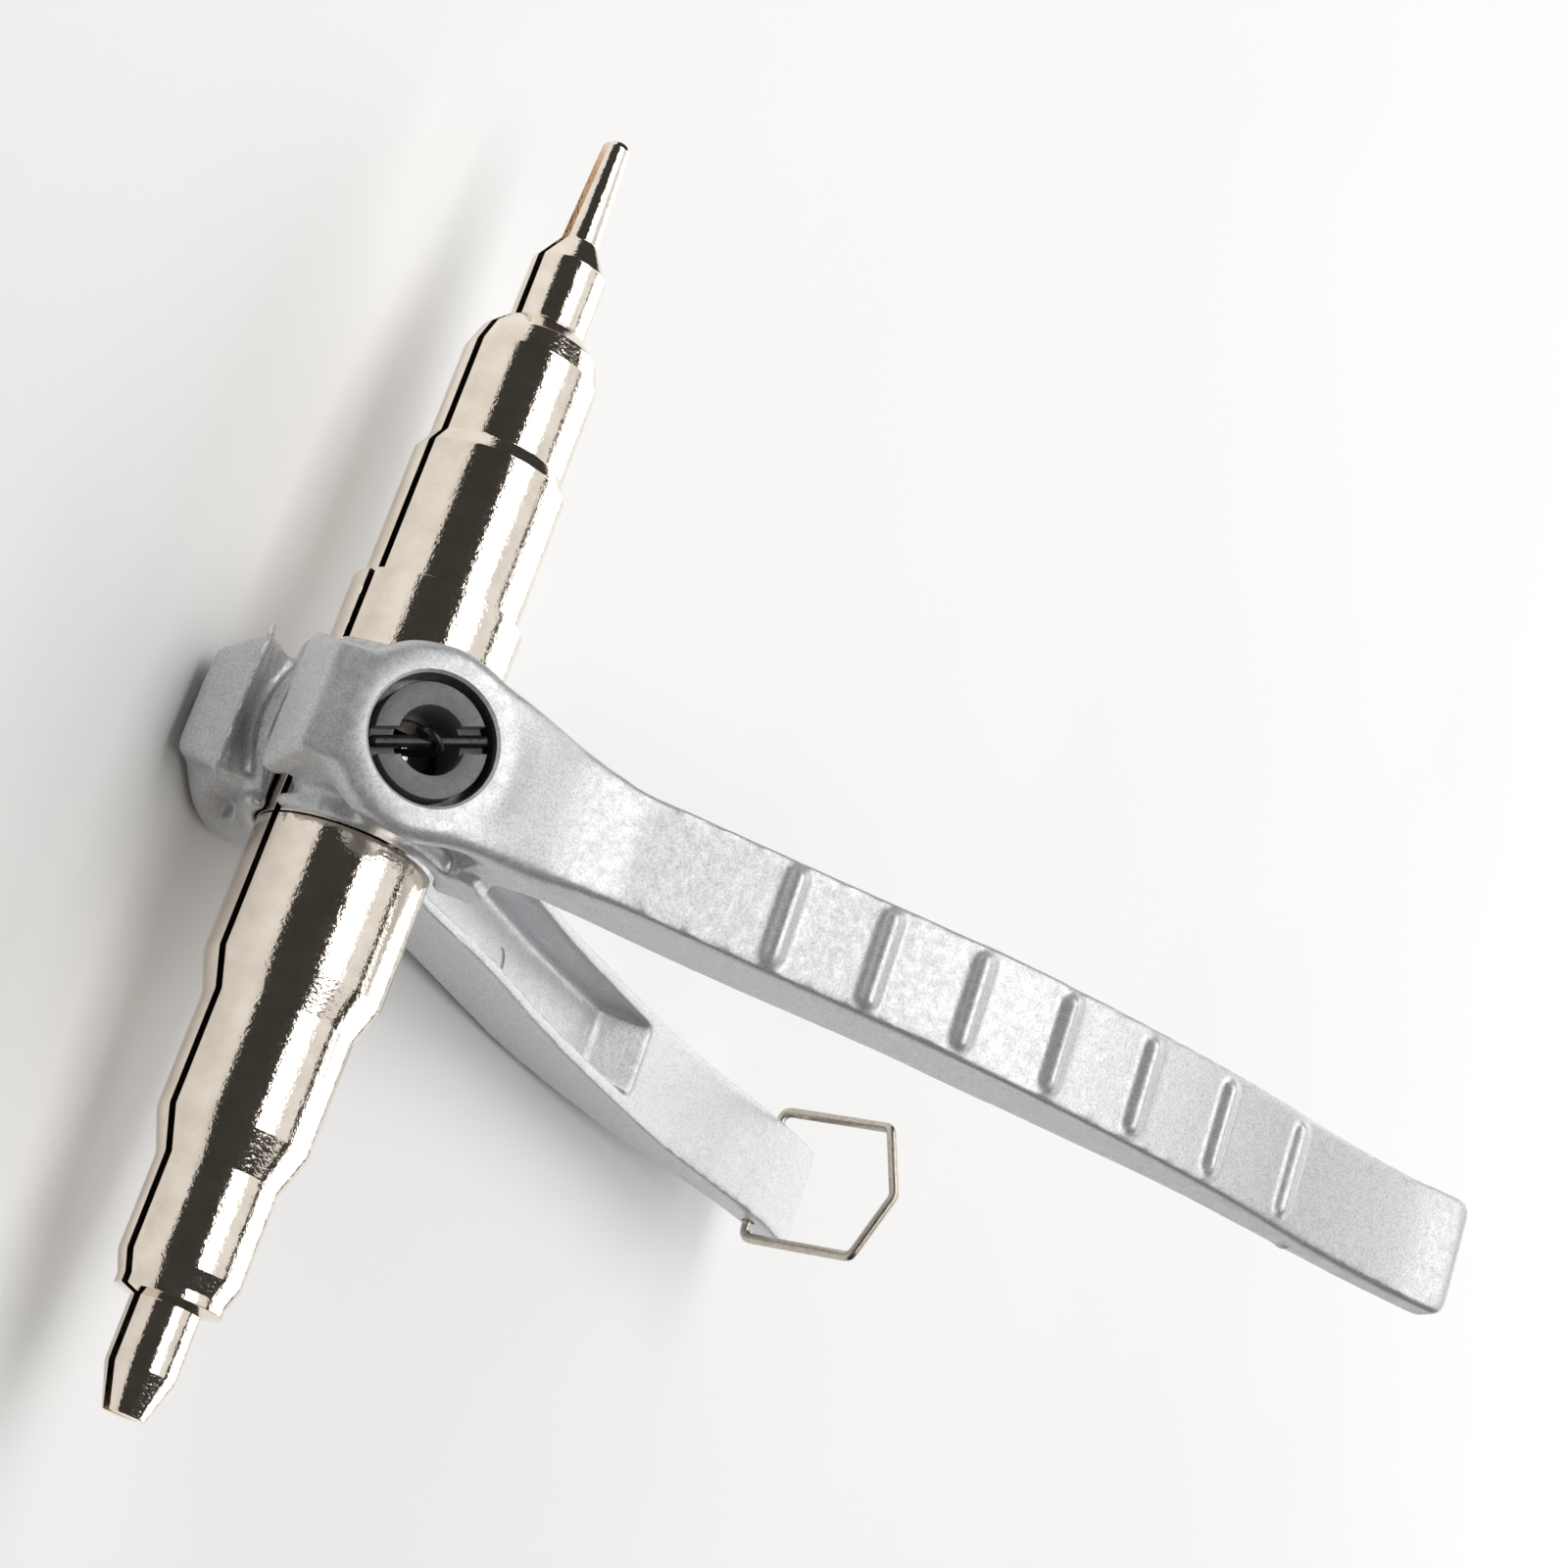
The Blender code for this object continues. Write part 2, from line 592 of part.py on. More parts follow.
def stud_window_mesh(side):
    """The groove in a half that the stud's nose runs in."""
    half_turn = math.asin((STUD_NOSE_R + GAP) / STUD_NOSE_Y)
    start = 90 * DEG - half_turn - WINDOW_MARGIN
    end = 90 * DEG + HEAD_ANGLE + half_turn + WINDOW_MARGIN
    groove_r = STUD_NOSE_Y - GAP
    outline = arc(groove_r, start, end, SMALL_ROUND)
    outline += arc(groove_r + WINDOW_DEPTH, end, start, SMALL_ROUND)
    outline = [(x, side * y) for x, y in outline]
    return prism("stud_window", outline, lambda x: STUD_NOSE_R + GAP)


def spring_slot_mesh():
    x = spring_x()
    reach = COIL_R + WIRE_R + GAP
    return box("spring_slot", (-THROUGH, -THROUGH, -reach), (x + reach, THROUGH, reach))


def knuckle_notch_mesh(low, high):
    """A milled notch in a half for the knuckles and the webs that swing past it."""
    wall = HINGE_OFFSET - KNUCKLE_R - KNUCKLE_ROOM
    return box("knuckle_notch", (wall, -THROUGH, low), (THROUGH, THROUGH, high))


def pin_channel_mesh():
    """A milled channel in the flat of a half, open to the handles' side, for the hinge pin."""
    room = PIN_R + PIN_ROOM
    return box("pin_channel", (HINGE_OFFSET - room, -room, -PIN_ROOM_HALF), (THROUGH, room, PIN_ROOM_HALF))


def build_half(prefix, side, frame):
    """The three turned pieces of one mandrel half, on their own turning frame."""
    core_mesh = half_of(rod("core", CORE_R, CORE_LOW_Z, CORE_TOP_Z, ROUND), side)
    core = node(prefix + "_core", core_mesh, frame, "nickel")
    room_low = NEAR_KNUCKLE[0] - GAP
    cut(core, knuckle_notch_mesh(room_low, PIN_HALF + GAP))
    cut(core, knuckle_notch_mesh(CORE_LOW_Z - OVERCUT, -room_low))
    cut(core, pin_channel_mesh())
    cut(core, stud_window_mesh(side))
    cut(core, spring_slot_mesh())
    cut(core, dowel_hole(CORE_TOP_Z, DOWEL_HALF, side))
    cut(core, dowel_hole(CORE_LOW_Z, LOWER_DOWEL_HALF, side))

    upper_mesh = half_of(turned("upper", upper_profile(), ROUND), side)
    upper = node(prefix + "_upper_swage", upper_mesh, frame, "nickel")
    cut(upper, dowel_hole(CORE_TOP_Z, DOWEL_HALF, side))
    lower_mesh = half_of(turned("lower", lower_profile(), ROUND), side)
    lower = node(prefix + "_lower_swage", lower_mesh, frame, "nickel")
    cut(lower, dowel_hole(CORE_LOW_Z, LOWER_DOWEL_HALF, side))

    at = (DOWEL_X, side * DOWEL_Y)
    dowels = (("_upper_dowel", CORE_TOP_Z, DOWEL_HALF), ("_lower_dowel", CORE_LOW_Z, LOWER_DOWEL_HALF))
    for name, z, half in dowels:
        node(prefix + name, rod("dowel", DOWEL_R, z - half, z + half, SMALL_ROUND, at), frame, "steel")


def build_hinge(frame):
    low = CLIP_SPAN[0] - CLIP_PLAY
    high = CLIP_SPAN[1] + CLIP_PLAY
    side = [(PIN_R, low), (PIN_GROOVE_R, low), (PIN_GROOVE_R, high), (PIN_R, high)]
    profile = [(0, -PIN_HALF), (PIN_R, -PIN_HALF)] + [(r, -z) for r, z in reversed(side)] + side
    profile += [(PIN_R, PIN_HALF), (0, PIN_HALF)]
    node("hinge_pin", turned("pin", profile, SMALL_ROUND), frame, "steel")
    for name, sign in (("upper_retaining_clip", 1), ("lower_retaining_clip", -1)):
        start, end = CLIP_MOUTH / 2, 2 * math.pi - CLIP_MOUTH / 2
        outline = arc(CLIP_R, start, end, SMALL_ROUND)
        outline += arc(PIN_GROOVE_R + RUN_GAP, end, start, SMALL_ROUND)
        low, high = sorted((sign * CLIP_SPAN[0], sign * CLIP_SPAN[1]))
        node(name, slab("clip", outline, low, high), frame, "black")


def build_stud(prefix, frame):
    profile = ((STUD_BORE_R, STUD_NOSE_Y), (STUD_NOSE_R, STUD_NOSE_Y), (STUD_NOSE_R, SADDLE_R + GAP),
               (STUD_BODY_R, SADDLE_R + GAP), (STUD_BODY_R, COUNTERBORE_Y + GAP),
               (STUD_RING_R, COUNTERBORE_Y + GAP), (STUD_RING_R, STUD_FACE), (STUD_BORE_R, STUD_FACE))
    stud = node(prefix + "_spring_stud", turned("stud", profile, ROUND, along_y=True), frame, "phosphate")
    slot = box("slot", (-THROUGH, STUD_FACE - SLOT_DEPTH, -SLOT_WIDTH / 2),
               (THROUGH, STUD_FACE + OVERCUT, SLOT_WIDTH / 2))
    slot.transform(Matrix.Rotation(SLOT_TURN, 4, "Y"))
    cut(stud, slot)
    pin = rod("cross_pin", CROSS_PIN_R, -CROSS_PIN_HALF, CROSS_PIN_HALF, 12)
    pin.transform(Matrix.Translation((0, CROSS_PIN_Y, 0)) @ Matrix.Rotation(90 * DEG + SLOT_TURN, 4, "Y"))
    node(prefix + "_cross_pin", pin, frame, "black")


def spring_x():
    """The spring's line on the split plane, straight between the two cross pins."""
    return -CROSS_PIN_Y * math.sin(HEAD_ANGLE)


def wire(name, points, radius, sides, parent, finish):
    curve = bpy.data.curves.new(name, "CURVE")
    curve.dimensions = "3D"
    curve.bevel_depth = radius
    curve.bevel_resolution = sides
    curve.use_fill_caps = True
    run = curve.splines.new("POLY")
    run.points.add(len(points) - 1)
    for slot, point in zip(run.points, points):
        slot.co = (*point, 1.0)
    piece = link(name, curve, parent)
    curve.materials.append(material(name, finish))
    return piece


def build_spring(frame):
    """A close coil along Y, with a hook round each cross pin."""
    eye = (CROSS_PIN_R + WIRE_R + RUN_GAP) / math.cos(HOOK_LEAN)
    across = Vector((math.sin(SLOT_TURN + HOOK_LEAN), 0, math.cos(SLOT_TURN + HOOK_LEAN)))
    reach = CROSS_PIN_Y * math.cos(HEAD_ANGLE)
    half = COIL_TURNS * COIL_PITCH / 2
    steps = COIL_TURNS * POINTS_PER_TURN
    coil = []
    for i in range(steps + 1):
        turn = 2 * math.pi * i / POINTS_PER_TURN
        coil.append(Vector((COIL_R * math.cos(turn), -half + 2 * half * i / steps, COIL_R * math.sin(turn))))
    hook = []
    for i in range(HOOK_STEPS + 1):
        turn = HOOK_START + HOOK_SWEEP * i / HOOK_STEPS
        hook.append(across * eye * math.cos(turn) + Vector((0, reach + eye * math.sin(turn), 0)))
    lead = [Vector((x * MM, half + y * MM, z * MM)) for x, y, z in HOOK_LEAD]
    top = lead + [across * eye + Vector((0, reach - HOOK_DROP, 0))] + hook
    bottom = [Vector((p.x, -p.y, -p.z)) for p in top]
    points = list(reversed(bottom)) + coil + top
    shift = Vector((spring_x(), 0, 0))
    wire("return_spring", [p + shift for p in points], WIRE_R, 1, frame, "black")


def rounded_corner(a, corner, b, radius, steps):
    """Points of a fillet in the corner between two straight runs."""
    to_a = (a - corner).normalized()
    to_b = (b - corner).normalized()
    opening = to_a.angle(to_b)
    start = corner + to_a * radius / math.tan(opening / 2)
    end = corner + to_b * radius / math.tan(opening / 2)
    return [(1 - t) ** 2 * start + 2 * t * (1 - t) * corner + t * t * end for t in
            (i / steps for i in range(steps + 1))]


def build_bail(frame):
    half = arm_half(BAIL_X) + BAIL_SIDE_GAP + BAIL_WIRE_R
    inside = arm_half(BAIL_X) - BAIL_END_DEPTH
    corners = [Vector((0, 0, inside)), Vector((0, 0, half)), Vector((BAIL_REACH, 0, half)),
               Vector((BAIL_REACH + BAIL_PEAK, 0, 0)), Vector((BAIL_REACH, 0, -half)),
               Vector((0, 0, -half)), Vector((0, 0, -inside))]
    points = [corners[0]]
    for a, corner, b in zip(corners, corners[1:], corners[2:]):
        points += rounded_corner(a, corner, b, BAIL_BEND_R, BEND_STEPS)
    points.append(corners[-1])
    wire("bail", points, BAIL_WIRE_R, 2, frame, "wire")


clear_scene()

# World frame: turn the back head onto X, then set the boss ring's middle radius on the origin.
ring_x = (COUNTERBORE_R + BOSS_R - BOSS_EDGE) / 2
lay_down = Matrix(((1, 0, 0, -ring_x), (0, 0, 1, 0), (0, -1, 0, BOSS_FACE), (0, 0, 0, 1)))
tool_frame = empty("tool_frame", None, lay_down @ Matrix.Rotation(-HEAD_ANGLE, 4, "Z"))

hinge_frame = empty("hinge_frame", tool_frame, Matrix.Translation((HINGE_OFFSET, 0, 0)))
on_hinge = Matrix.Translation((-HINGE_OFFSET, 0, 0))
back_frame = empty("back_frame", tool_frame, Matrix.Rotation(HEAD_ANGLE, 4, "Z"))
front_turned = Matrix.Rotation(math.pi, 4, "X") @ Matrix.Rotation(HEAD_ANGLE, 4, "Z")
front_frame = empty("front_frame", hinge_frame, on_hinge @ front_turned)
front_half_frame = empty("front_half_frame", hinge_frame, on_hinge)
back_half_frame = empty("back_half_frame", tool_frame, Matrix.Identity(4))
bail_spot = Matrix.Translation((BAIL_X, bail_pivot_y(), 0)) @ Matrix.Rotation(BAIL_ANGLE, 4, "Z")
bail_frame = empty("bail_frame", back_frame, Matrix.Rotation(ARM_RAKE, 4, "Z") @ bail_spot)

build_casting("back_handle", back_frame, has_bail=True)
build_casting("front_handle", front_frame, has_bail=False)
build_half("back", 1, back_half_frame)
build_half("front", -1, front_half_frame)
build_hinge(hinge_frame)
build_stud("back", back_frame)
build_stud("front", front_frame)
build_spring(tool_frame)
build_bail(bail_frame)
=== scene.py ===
"""Looks for a hand tube expander: cast lever handles, a split stepped mandrel and a wire bail.

Every piece is built in its own making frame in metres and then laid in the row frame, where X runs
along the back head, Y along the mandrel towards the thin swage and Z up from the boss ring.
"""
import logging
import math
from dataclasses import dataclass, field
from enum import Enum
from typing import Sequence

import bmesh
import bpy
from mathutils import Matrix, Vector


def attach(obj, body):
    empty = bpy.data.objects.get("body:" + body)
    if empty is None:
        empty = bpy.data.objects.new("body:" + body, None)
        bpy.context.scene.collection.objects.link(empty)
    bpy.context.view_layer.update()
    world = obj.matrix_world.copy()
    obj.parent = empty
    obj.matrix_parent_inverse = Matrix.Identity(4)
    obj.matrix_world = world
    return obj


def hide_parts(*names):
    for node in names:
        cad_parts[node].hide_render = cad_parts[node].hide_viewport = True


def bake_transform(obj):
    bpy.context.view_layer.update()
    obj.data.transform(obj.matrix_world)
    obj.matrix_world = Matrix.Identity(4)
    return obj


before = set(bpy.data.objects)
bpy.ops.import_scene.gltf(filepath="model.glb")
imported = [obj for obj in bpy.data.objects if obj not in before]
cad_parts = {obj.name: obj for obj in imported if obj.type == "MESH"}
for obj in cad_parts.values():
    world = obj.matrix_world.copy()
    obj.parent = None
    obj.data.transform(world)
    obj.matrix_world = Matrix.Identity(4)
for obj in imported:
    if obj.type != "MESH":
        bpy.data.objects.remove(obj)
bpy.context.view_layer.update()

LOG = logging.getLogger("tube_expander")
MM = 0.001
DEG = math.pi / 180
GUARD = 0.2                    # how far beyond a rounded corner its guard points lie, as a share of it
REACH = 14 * MM                # a through cutter runs this far, past every face it meets
Point = tuple[float, float]
BMesh = bmesh.types.BMesh
Object = bpy.types.Object
Material = bpy.types.Material
Socket = bpy.types.NodeSocket


class Side(Enum):
    """The two levers, and the sign of the tool frame's Y on which each one lies."""

    BACK = 1
    FRONT = -1

    @property
    def prefix(self) -> str:
        """The start of this side's node names."""
        return self.name.lower()

    @property
    def lever(self) -> str:
        """The body of this side's handle."""
        return self.prefix + "_lever"

    @property
    def mandrel(self) -> str:
        """The body of this side's mandrel half."""
        return self.prefix + "_mandrel"


@dataclass(frozen=True)
class Layout:
    """Where the making frames stand in the row frame."""

    head_angle: float = 20.5 * DEG
    arm_rake: float = 4.4 * DEG
    ring_x: float = 8.55 * MM
    boss_face: float = 18.85 * MM
    hinge_offset: float = 3.6 * MM
    split_gap: float = 1.2 * MM

    def laid(self) -> Matrix:
        """The back casting frame in the row frame."""
        return Matrix(((1, 0, 0, -self.ring_x), (0, 0, 1, 0), (0, -1, 0, self.boss_face), (0, 0, 0, 1)))

    def tool(self) -> Matrix:
        """The tool frame, with Z on the mandrel axis, in the row frame."""
        return self.laid() @ Matrix.Rotation(-self.head_angle, 4, "Z")

    def casting(self, side: Side) -> Matrix:
        """A casting frame in the row frame; the front one is the back one turned over."""
        if side is Side.BACK:
            return self.laid()
        return self.tool() @ Matrix.Rotation(math.pi, 4, "X") @ Matrix.Rotation(self.head_angle, 4, "Z")

    def hinge(self) -> Point:
        """The hinge axis in a casting frame."""
        offset, turn = self.hinge_offset, self.head_angle
        return (offset * math.cos(turn), -offset * math.sin(turn))


LAYOUT = Layout()


# ---------------------------------------------------------------- bench tools


def round_points(radius: float, start: float, end: float, steps: int, centre: Point = (0, 0)) -> list[Point]:
    """Points along an arc.

    Args:
        radius: the arc's radius.
        start: its first angle in radians.
        end: its last angle.
        steps: how many chords it has.
        centre: its centre.

    Returns:
        steps + 1 points.
    """
    turns = (start + (end - start) * i / steps for i in range(steps + 1))
    return [(centre[0] + radius * math.cos(a), centre[1] + radius * math.sin(a)) for a in turns]


def smooth_line(knots: Sequence[Point], steps: int) -> list[Vector]:
    """A Catmull-Rom line through knots in millimetres.

    Args:
        knots: the points to pass through.
        steps: points for each span.

    Returns:
        the line's points in metres.
    """
    points = [Vector(k) * MM for k in knots]
    ends = [2 * points[0] - points[1]] + points + [2 * points[-1] - points[-2]]
    line = []
    for i in range(1, len(points)):
        a, b, c, d = ends[i - 1:i + 3]
        for step in range(steps):
            t = step / steps
            line.append(0.5 * (2 * b + (c - a) * t + (2 * a - 5 * b + 4 * c - d) * t ** 2
                               + (3 * b - a - 3 * c + d) * t ** 3))
    return line + [points[-1]]


def height_on(line: Sequence[Vector], x: float) -> float:
    """The line's y at x."""
    for a, b in zip(line, line[1:]):
        if a.x <= x <= b.x:
            return a.y + (b.y - a.y) * (x - a.x) / (b.x - a.x)
    return line[-1].y


def corner_curve(start: Vector, corner: Vector, end: Vector, steps: int) -> list[Vector]:
    """Points along the soft curve that cuts off a corner."""
    shares = [i / steps for i in range(steps + 1)]
    return [(1 - t) ** 2 * start + 2 * t * (1 - t) * corner + t * t * end for t in shares]


def softened(profile: Sequence[Point], radius: float, steps: int = 3) -> list[Point]:
    """Round the corners of an open profile.

    Args:
        profile: its points.
        radius: how far from each corner the rounding starts, at most 0.4 of a side.
        steps: chords for each corner.

    Returns:
        the rounded profile, with its two ends kept and a point close to each side of a corner, so
        that the long faces beside it stay flat in shading.
    """
    points = [Vector(p) for p in profile]
    result = [points[0]]
    for a, corner, b in zip(points, points[1:], points[2:]):
        reach = min(radius, 0.4 * (a - corner).length, 0.4 * (b - corner).length)
        start = corner + (a - corner).normalized() * reach
        end = corner + (b - corner).normalized() * reach
        result.append(start + (start - corner) * GUARD)
        result += corner_curve(start, corner, end, steps)
        result.append(end + (end - corner) * GUARD)
    result.append(points[-1])
    return [(p.x, p.y) for p in result]


def extruded(outline: Sequence[Point], low: float, high: float) -> BMesh:
    """Extrude a flat outline along Z.

    Args:
        outline: points of one face.
        low: where it starts.
        high: where it ends; the two may come in either order.

    Returns:
        a closed bmesh.
    """
    low, high = sorted((low, high))
    bm = bmesh.new()
    face = bm.faces.new([bm.verts.new((x, y, low)) for x, y in outline])
    grown = bmesh.ops.extrude_face_region(bm, geom=[face])["geom"]
    lifted = [item for item in grown if isinstance(item, bmesh.types.BMVert)]
    bmesh.ops.translate(bm, verts=lifted, vec=(0, 0, high - low))
    bmesh.ops.recalc_face_normals(bm, faces=bm.faces)
    return bm


def spun(profile: Sequence[Point], segments: int) -> BMesh:
    """Spin a profile of (radius, height) points about Z.

    Args:
        profile: an open line from axis to axis, or a ring that is closed here.
        segments: how many steps the full turn has.

    Returns:
        a closed bmesh.
    """
    bm = bmesh.new()
    verts = [bm.verts.new((r, 0, z)) for r, z in profile]
    edges = [bm.edges.new(pair) for pair in zip(verts, verts[1:])]
    if profile[0][0] > 0 and profile[-1][0] > 0:
        edges.append(bm.edges.new((verts[-1], verts[0])))
    bmesh.ops.spin(bm, geom=verts + edges, cent=(0, 0, 0), axis=(0, 0, 1), angle=2 * math.pi,
                   steps=segments, use_merge=True)
    bmesh.ops.remove_doubles(bm, verts=bm.verts, dist=1e-7)
    bmesh.ops.recalc_face_normals(bm, faces=bm.faces)
    return bm


def cylinder(radius: float, low: float, high: float, segments: int) -> BMesh:
    """A closed cylinder about Z."""
    return spun(((0, low), (radius, low), (radius, high), (0, high)), segments)


def ball(radius: float, u_segments: int, v_segments: int) -> BMesh:
    """A sphere at the origin."""
    bm = bmesh.new()
    bmesh.ops.create_uvsphere(bm, u_segments=u_segments, v_segments=v_segments, radius=radius)
    return bm


def bevelled(bm: BMesh, edges: Sequence[bmesh.types.BMEdge], offset: float, segments: int,
             clamp: bool = False) -> BMesh:
    """Bevel some of a shape's edges to a round profile."""
    bmesh.ops.bevel(bm, geom=edges, offset=offset, segments=segments, profile=0.5, affect="EDGES",
                    material=-1, clamp_overlap=clamp)
    return bm


def moved(bm: BMesh, by: Sequence[float]) -> BMesh:
    """Shift a whole shape."""
    bmesh.ops.translate(bm, verts=bm.verts, vec=by)
    return bm


def turned_to_y(bm: BMesh) -> BMesh:
    """Lay a piece made along Z along Y."""
    bmesh.ops.rotate(bm, verts=bm.verts, matrix=Matrix.Rotation(-90 * DEG, 3, "X"))
    return bm


def block(low: Sequence[float], high: Sequence[float]) -> BMesh:
    """A box between two corners."""
    bm = bmesh.new()
    bmesh.ops.create_cube(bm, size=1.0)
    size = [b - a for a, b in zip(low, high)]
    centre = [(a + b) / 2 for a, b in zip(low, high)]
    bmesh.ops.scale(bm, verts=bm.verts, vec=size)
    return moved(bm, centre)


def gathered(parts: Sequence[BMesh]) -> BMesh:
    """Put several closed shapes in one bmesh, to be welded by a remesh."""
    whole = bmesh.new()
    for part in parts:
        mesh = bpy.data.meshes.new("part")
        part.to_mesh(mesh)
        part.free()
        whole.from_mesh(mesh)
        bpy.data.meshes.remove(mesh)
    return whole


def piece(name: str, bm: BMesh, place: Matrix | None = None) -> Object:
    """Make an object whose place is in its mesh.

    Args:
        name: the object's name.
        bm: its shape, freed here.
        place: the making frame in the row frame.

    Returns:
        the object, at the origin.
    """
    if place is not None:
        bmesh.ops.transform(bm, matrix=place, verts=bm.verts)
    mesh = bpy.data.meshes.new(name)
    bm.to_mesh(mesh)
    bm.free()
    made = bpy.data.objects.new(name, mesh)
    bpy.context.collection.objects.link(made)
    return made


def evaluated_mesh(made: Object) -> bpy.types.Mesh:
    """A new mesh of what an object shows with its modifiers."""
    bpy.context.view_layer.update()
    return bpy.data.meshes.new_from_object(made.evaluated_get(bpy.context.evaluated_depsgraph_get()))


def discarded(made: Object) -> None:
    """Remove an object and its mesh."""
    mesh = made.data
    bpy.data.objects.remove(made, do_unlink=True)
    bpy.data.meshes.remove(mesh)


def settled(made: Object) -> Object:
    """Apply a piece's modifiers to its mesh."""
    mesh = evaluated_mesh(made)
    old = made.data
    made.modifiers.clear()
    made.data = mesh
    bpy.data.meshes.remove(old)
    mesh.name = made.name
    return made


def welded(made: Object, voxel: float, rounds: int) -> Object:
    """Weld overlapping shapes into one skin and relax it into soft fillets.

    Args:
        made: the object.
        voxel: size of the skin's cells.
        rounds: smoothing rounds.

    Returns:
        the same object.
    """
    weld = made.modifiers.new("weld", "REMESH")
    weld.mode = "VOXEL"
    weld.voxel_size = voxel
    weld.use_smooth_shade = True
    if rounds:
        relax = made.modifiers.new("relax", "SMOOTH")
        relax.factor = 0.5
        relax.iterations = rounds
    return settled(made)


def carved(made: Object, cutters: Sequence[BMesh], place: Matrix) -> Object:
    """Cut shapes out of a piece.

    Args:
        made: the object, a closed skin.
        cutters: closed shapes, freed here.
        place: the cutters' making frame in the object's frame.

    Returns:
        the same object.
    """
    tools = []
    for index, bm in enumerate(cutters):
        tool = piece(f"{made.name}.cutter{index}", bm, place)
        cut = made.modifiers.new(tool.name, "BOOLEAN")
        cut.operation = "DIFFERENCE"
        cut.solver = "MANIFOLD"
        cut.object = tool
        tools.append(tool)
    settled(made)
    for tool in tools:
        discarded(tool)
    return made


def dressed(made: Object, material: Material, sharp: float = 38 * DEG) -> Object:
    """Give a piece its one material and smooth shading up to an angle."""
    made.data.materials.clear()
    made.data.materials.append(material)
    made.data.shade_smooth()
    made.data.set_sharp_from_angle(angle=sharp)
    return made


def filed(made: Object, body: str, node: str) -> None:
    """Put a piece on the body it rides on and hide the CAD solid it stands for."""
    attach(made, body)
    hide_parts(node)


def tube(name: str, points: Sequence[Vector], radius: float, sides: int) -> Object:
    """A round wire along points, as a mesh.

    Args:
        name: the object's name.
        points: the wire's line.
        radius: the wire's radius.
        sides: facets in a quarter of its section.

    Returns:
        the mesh object.
    """
    curve = bpy.data.curves.new(name, "CURVE")
    curve.dimensions = "3D"
    curve.bevel_depth = radius
    curve.bevel_resolution = sides
    curve.use_fill_caps = True
    run = curve.splines.new("POLY")
    run.points.add(len(points) - 1)
    for slot, point in zip(run.points, points):
        slot.co = (*point, 1.0)
    drawn = bpy.data.objects.new(name + ".line", curve)
    bpy.context.collection.objects.link(drawn)
    mesh = evaluated_mesh(drawn)
    bpy.data.objects.remove(drawn, do_unlink=True)
    bpy.data.curves.remove(curve)
    bm = bmesh.new()
    bm.from_mesh(mesh)
    bpy.data.meshes.remove(mesh)
    bmesh.ops.remove_doubles(bm, verts=bm.verts, dist=1e-6)
    bmesh.ops.recalc_face_normals(bm, faces=bm.faces)
    return piece(name, bm)


def bent(points: Sequence[Vector], radius: float, steps: int) -> list[Vector]:
    """Round the corners of a wire's line with bends of about one radius."""
    line = [points[0]]
    for a, corner, b in zip(points, points[1:], points[2:]):
        to_a = (a - corner).normalized()
        to_b = (b - corner).normalized()
        reach = radius / math.tan(to_a.angle(to_b) / 2)
        line += corner_curve(corner + to_a * reach, corner, corner + to_b * reach, steps)
    return line + [points[-1]]


# ---------------------------------------------------------------- finishes


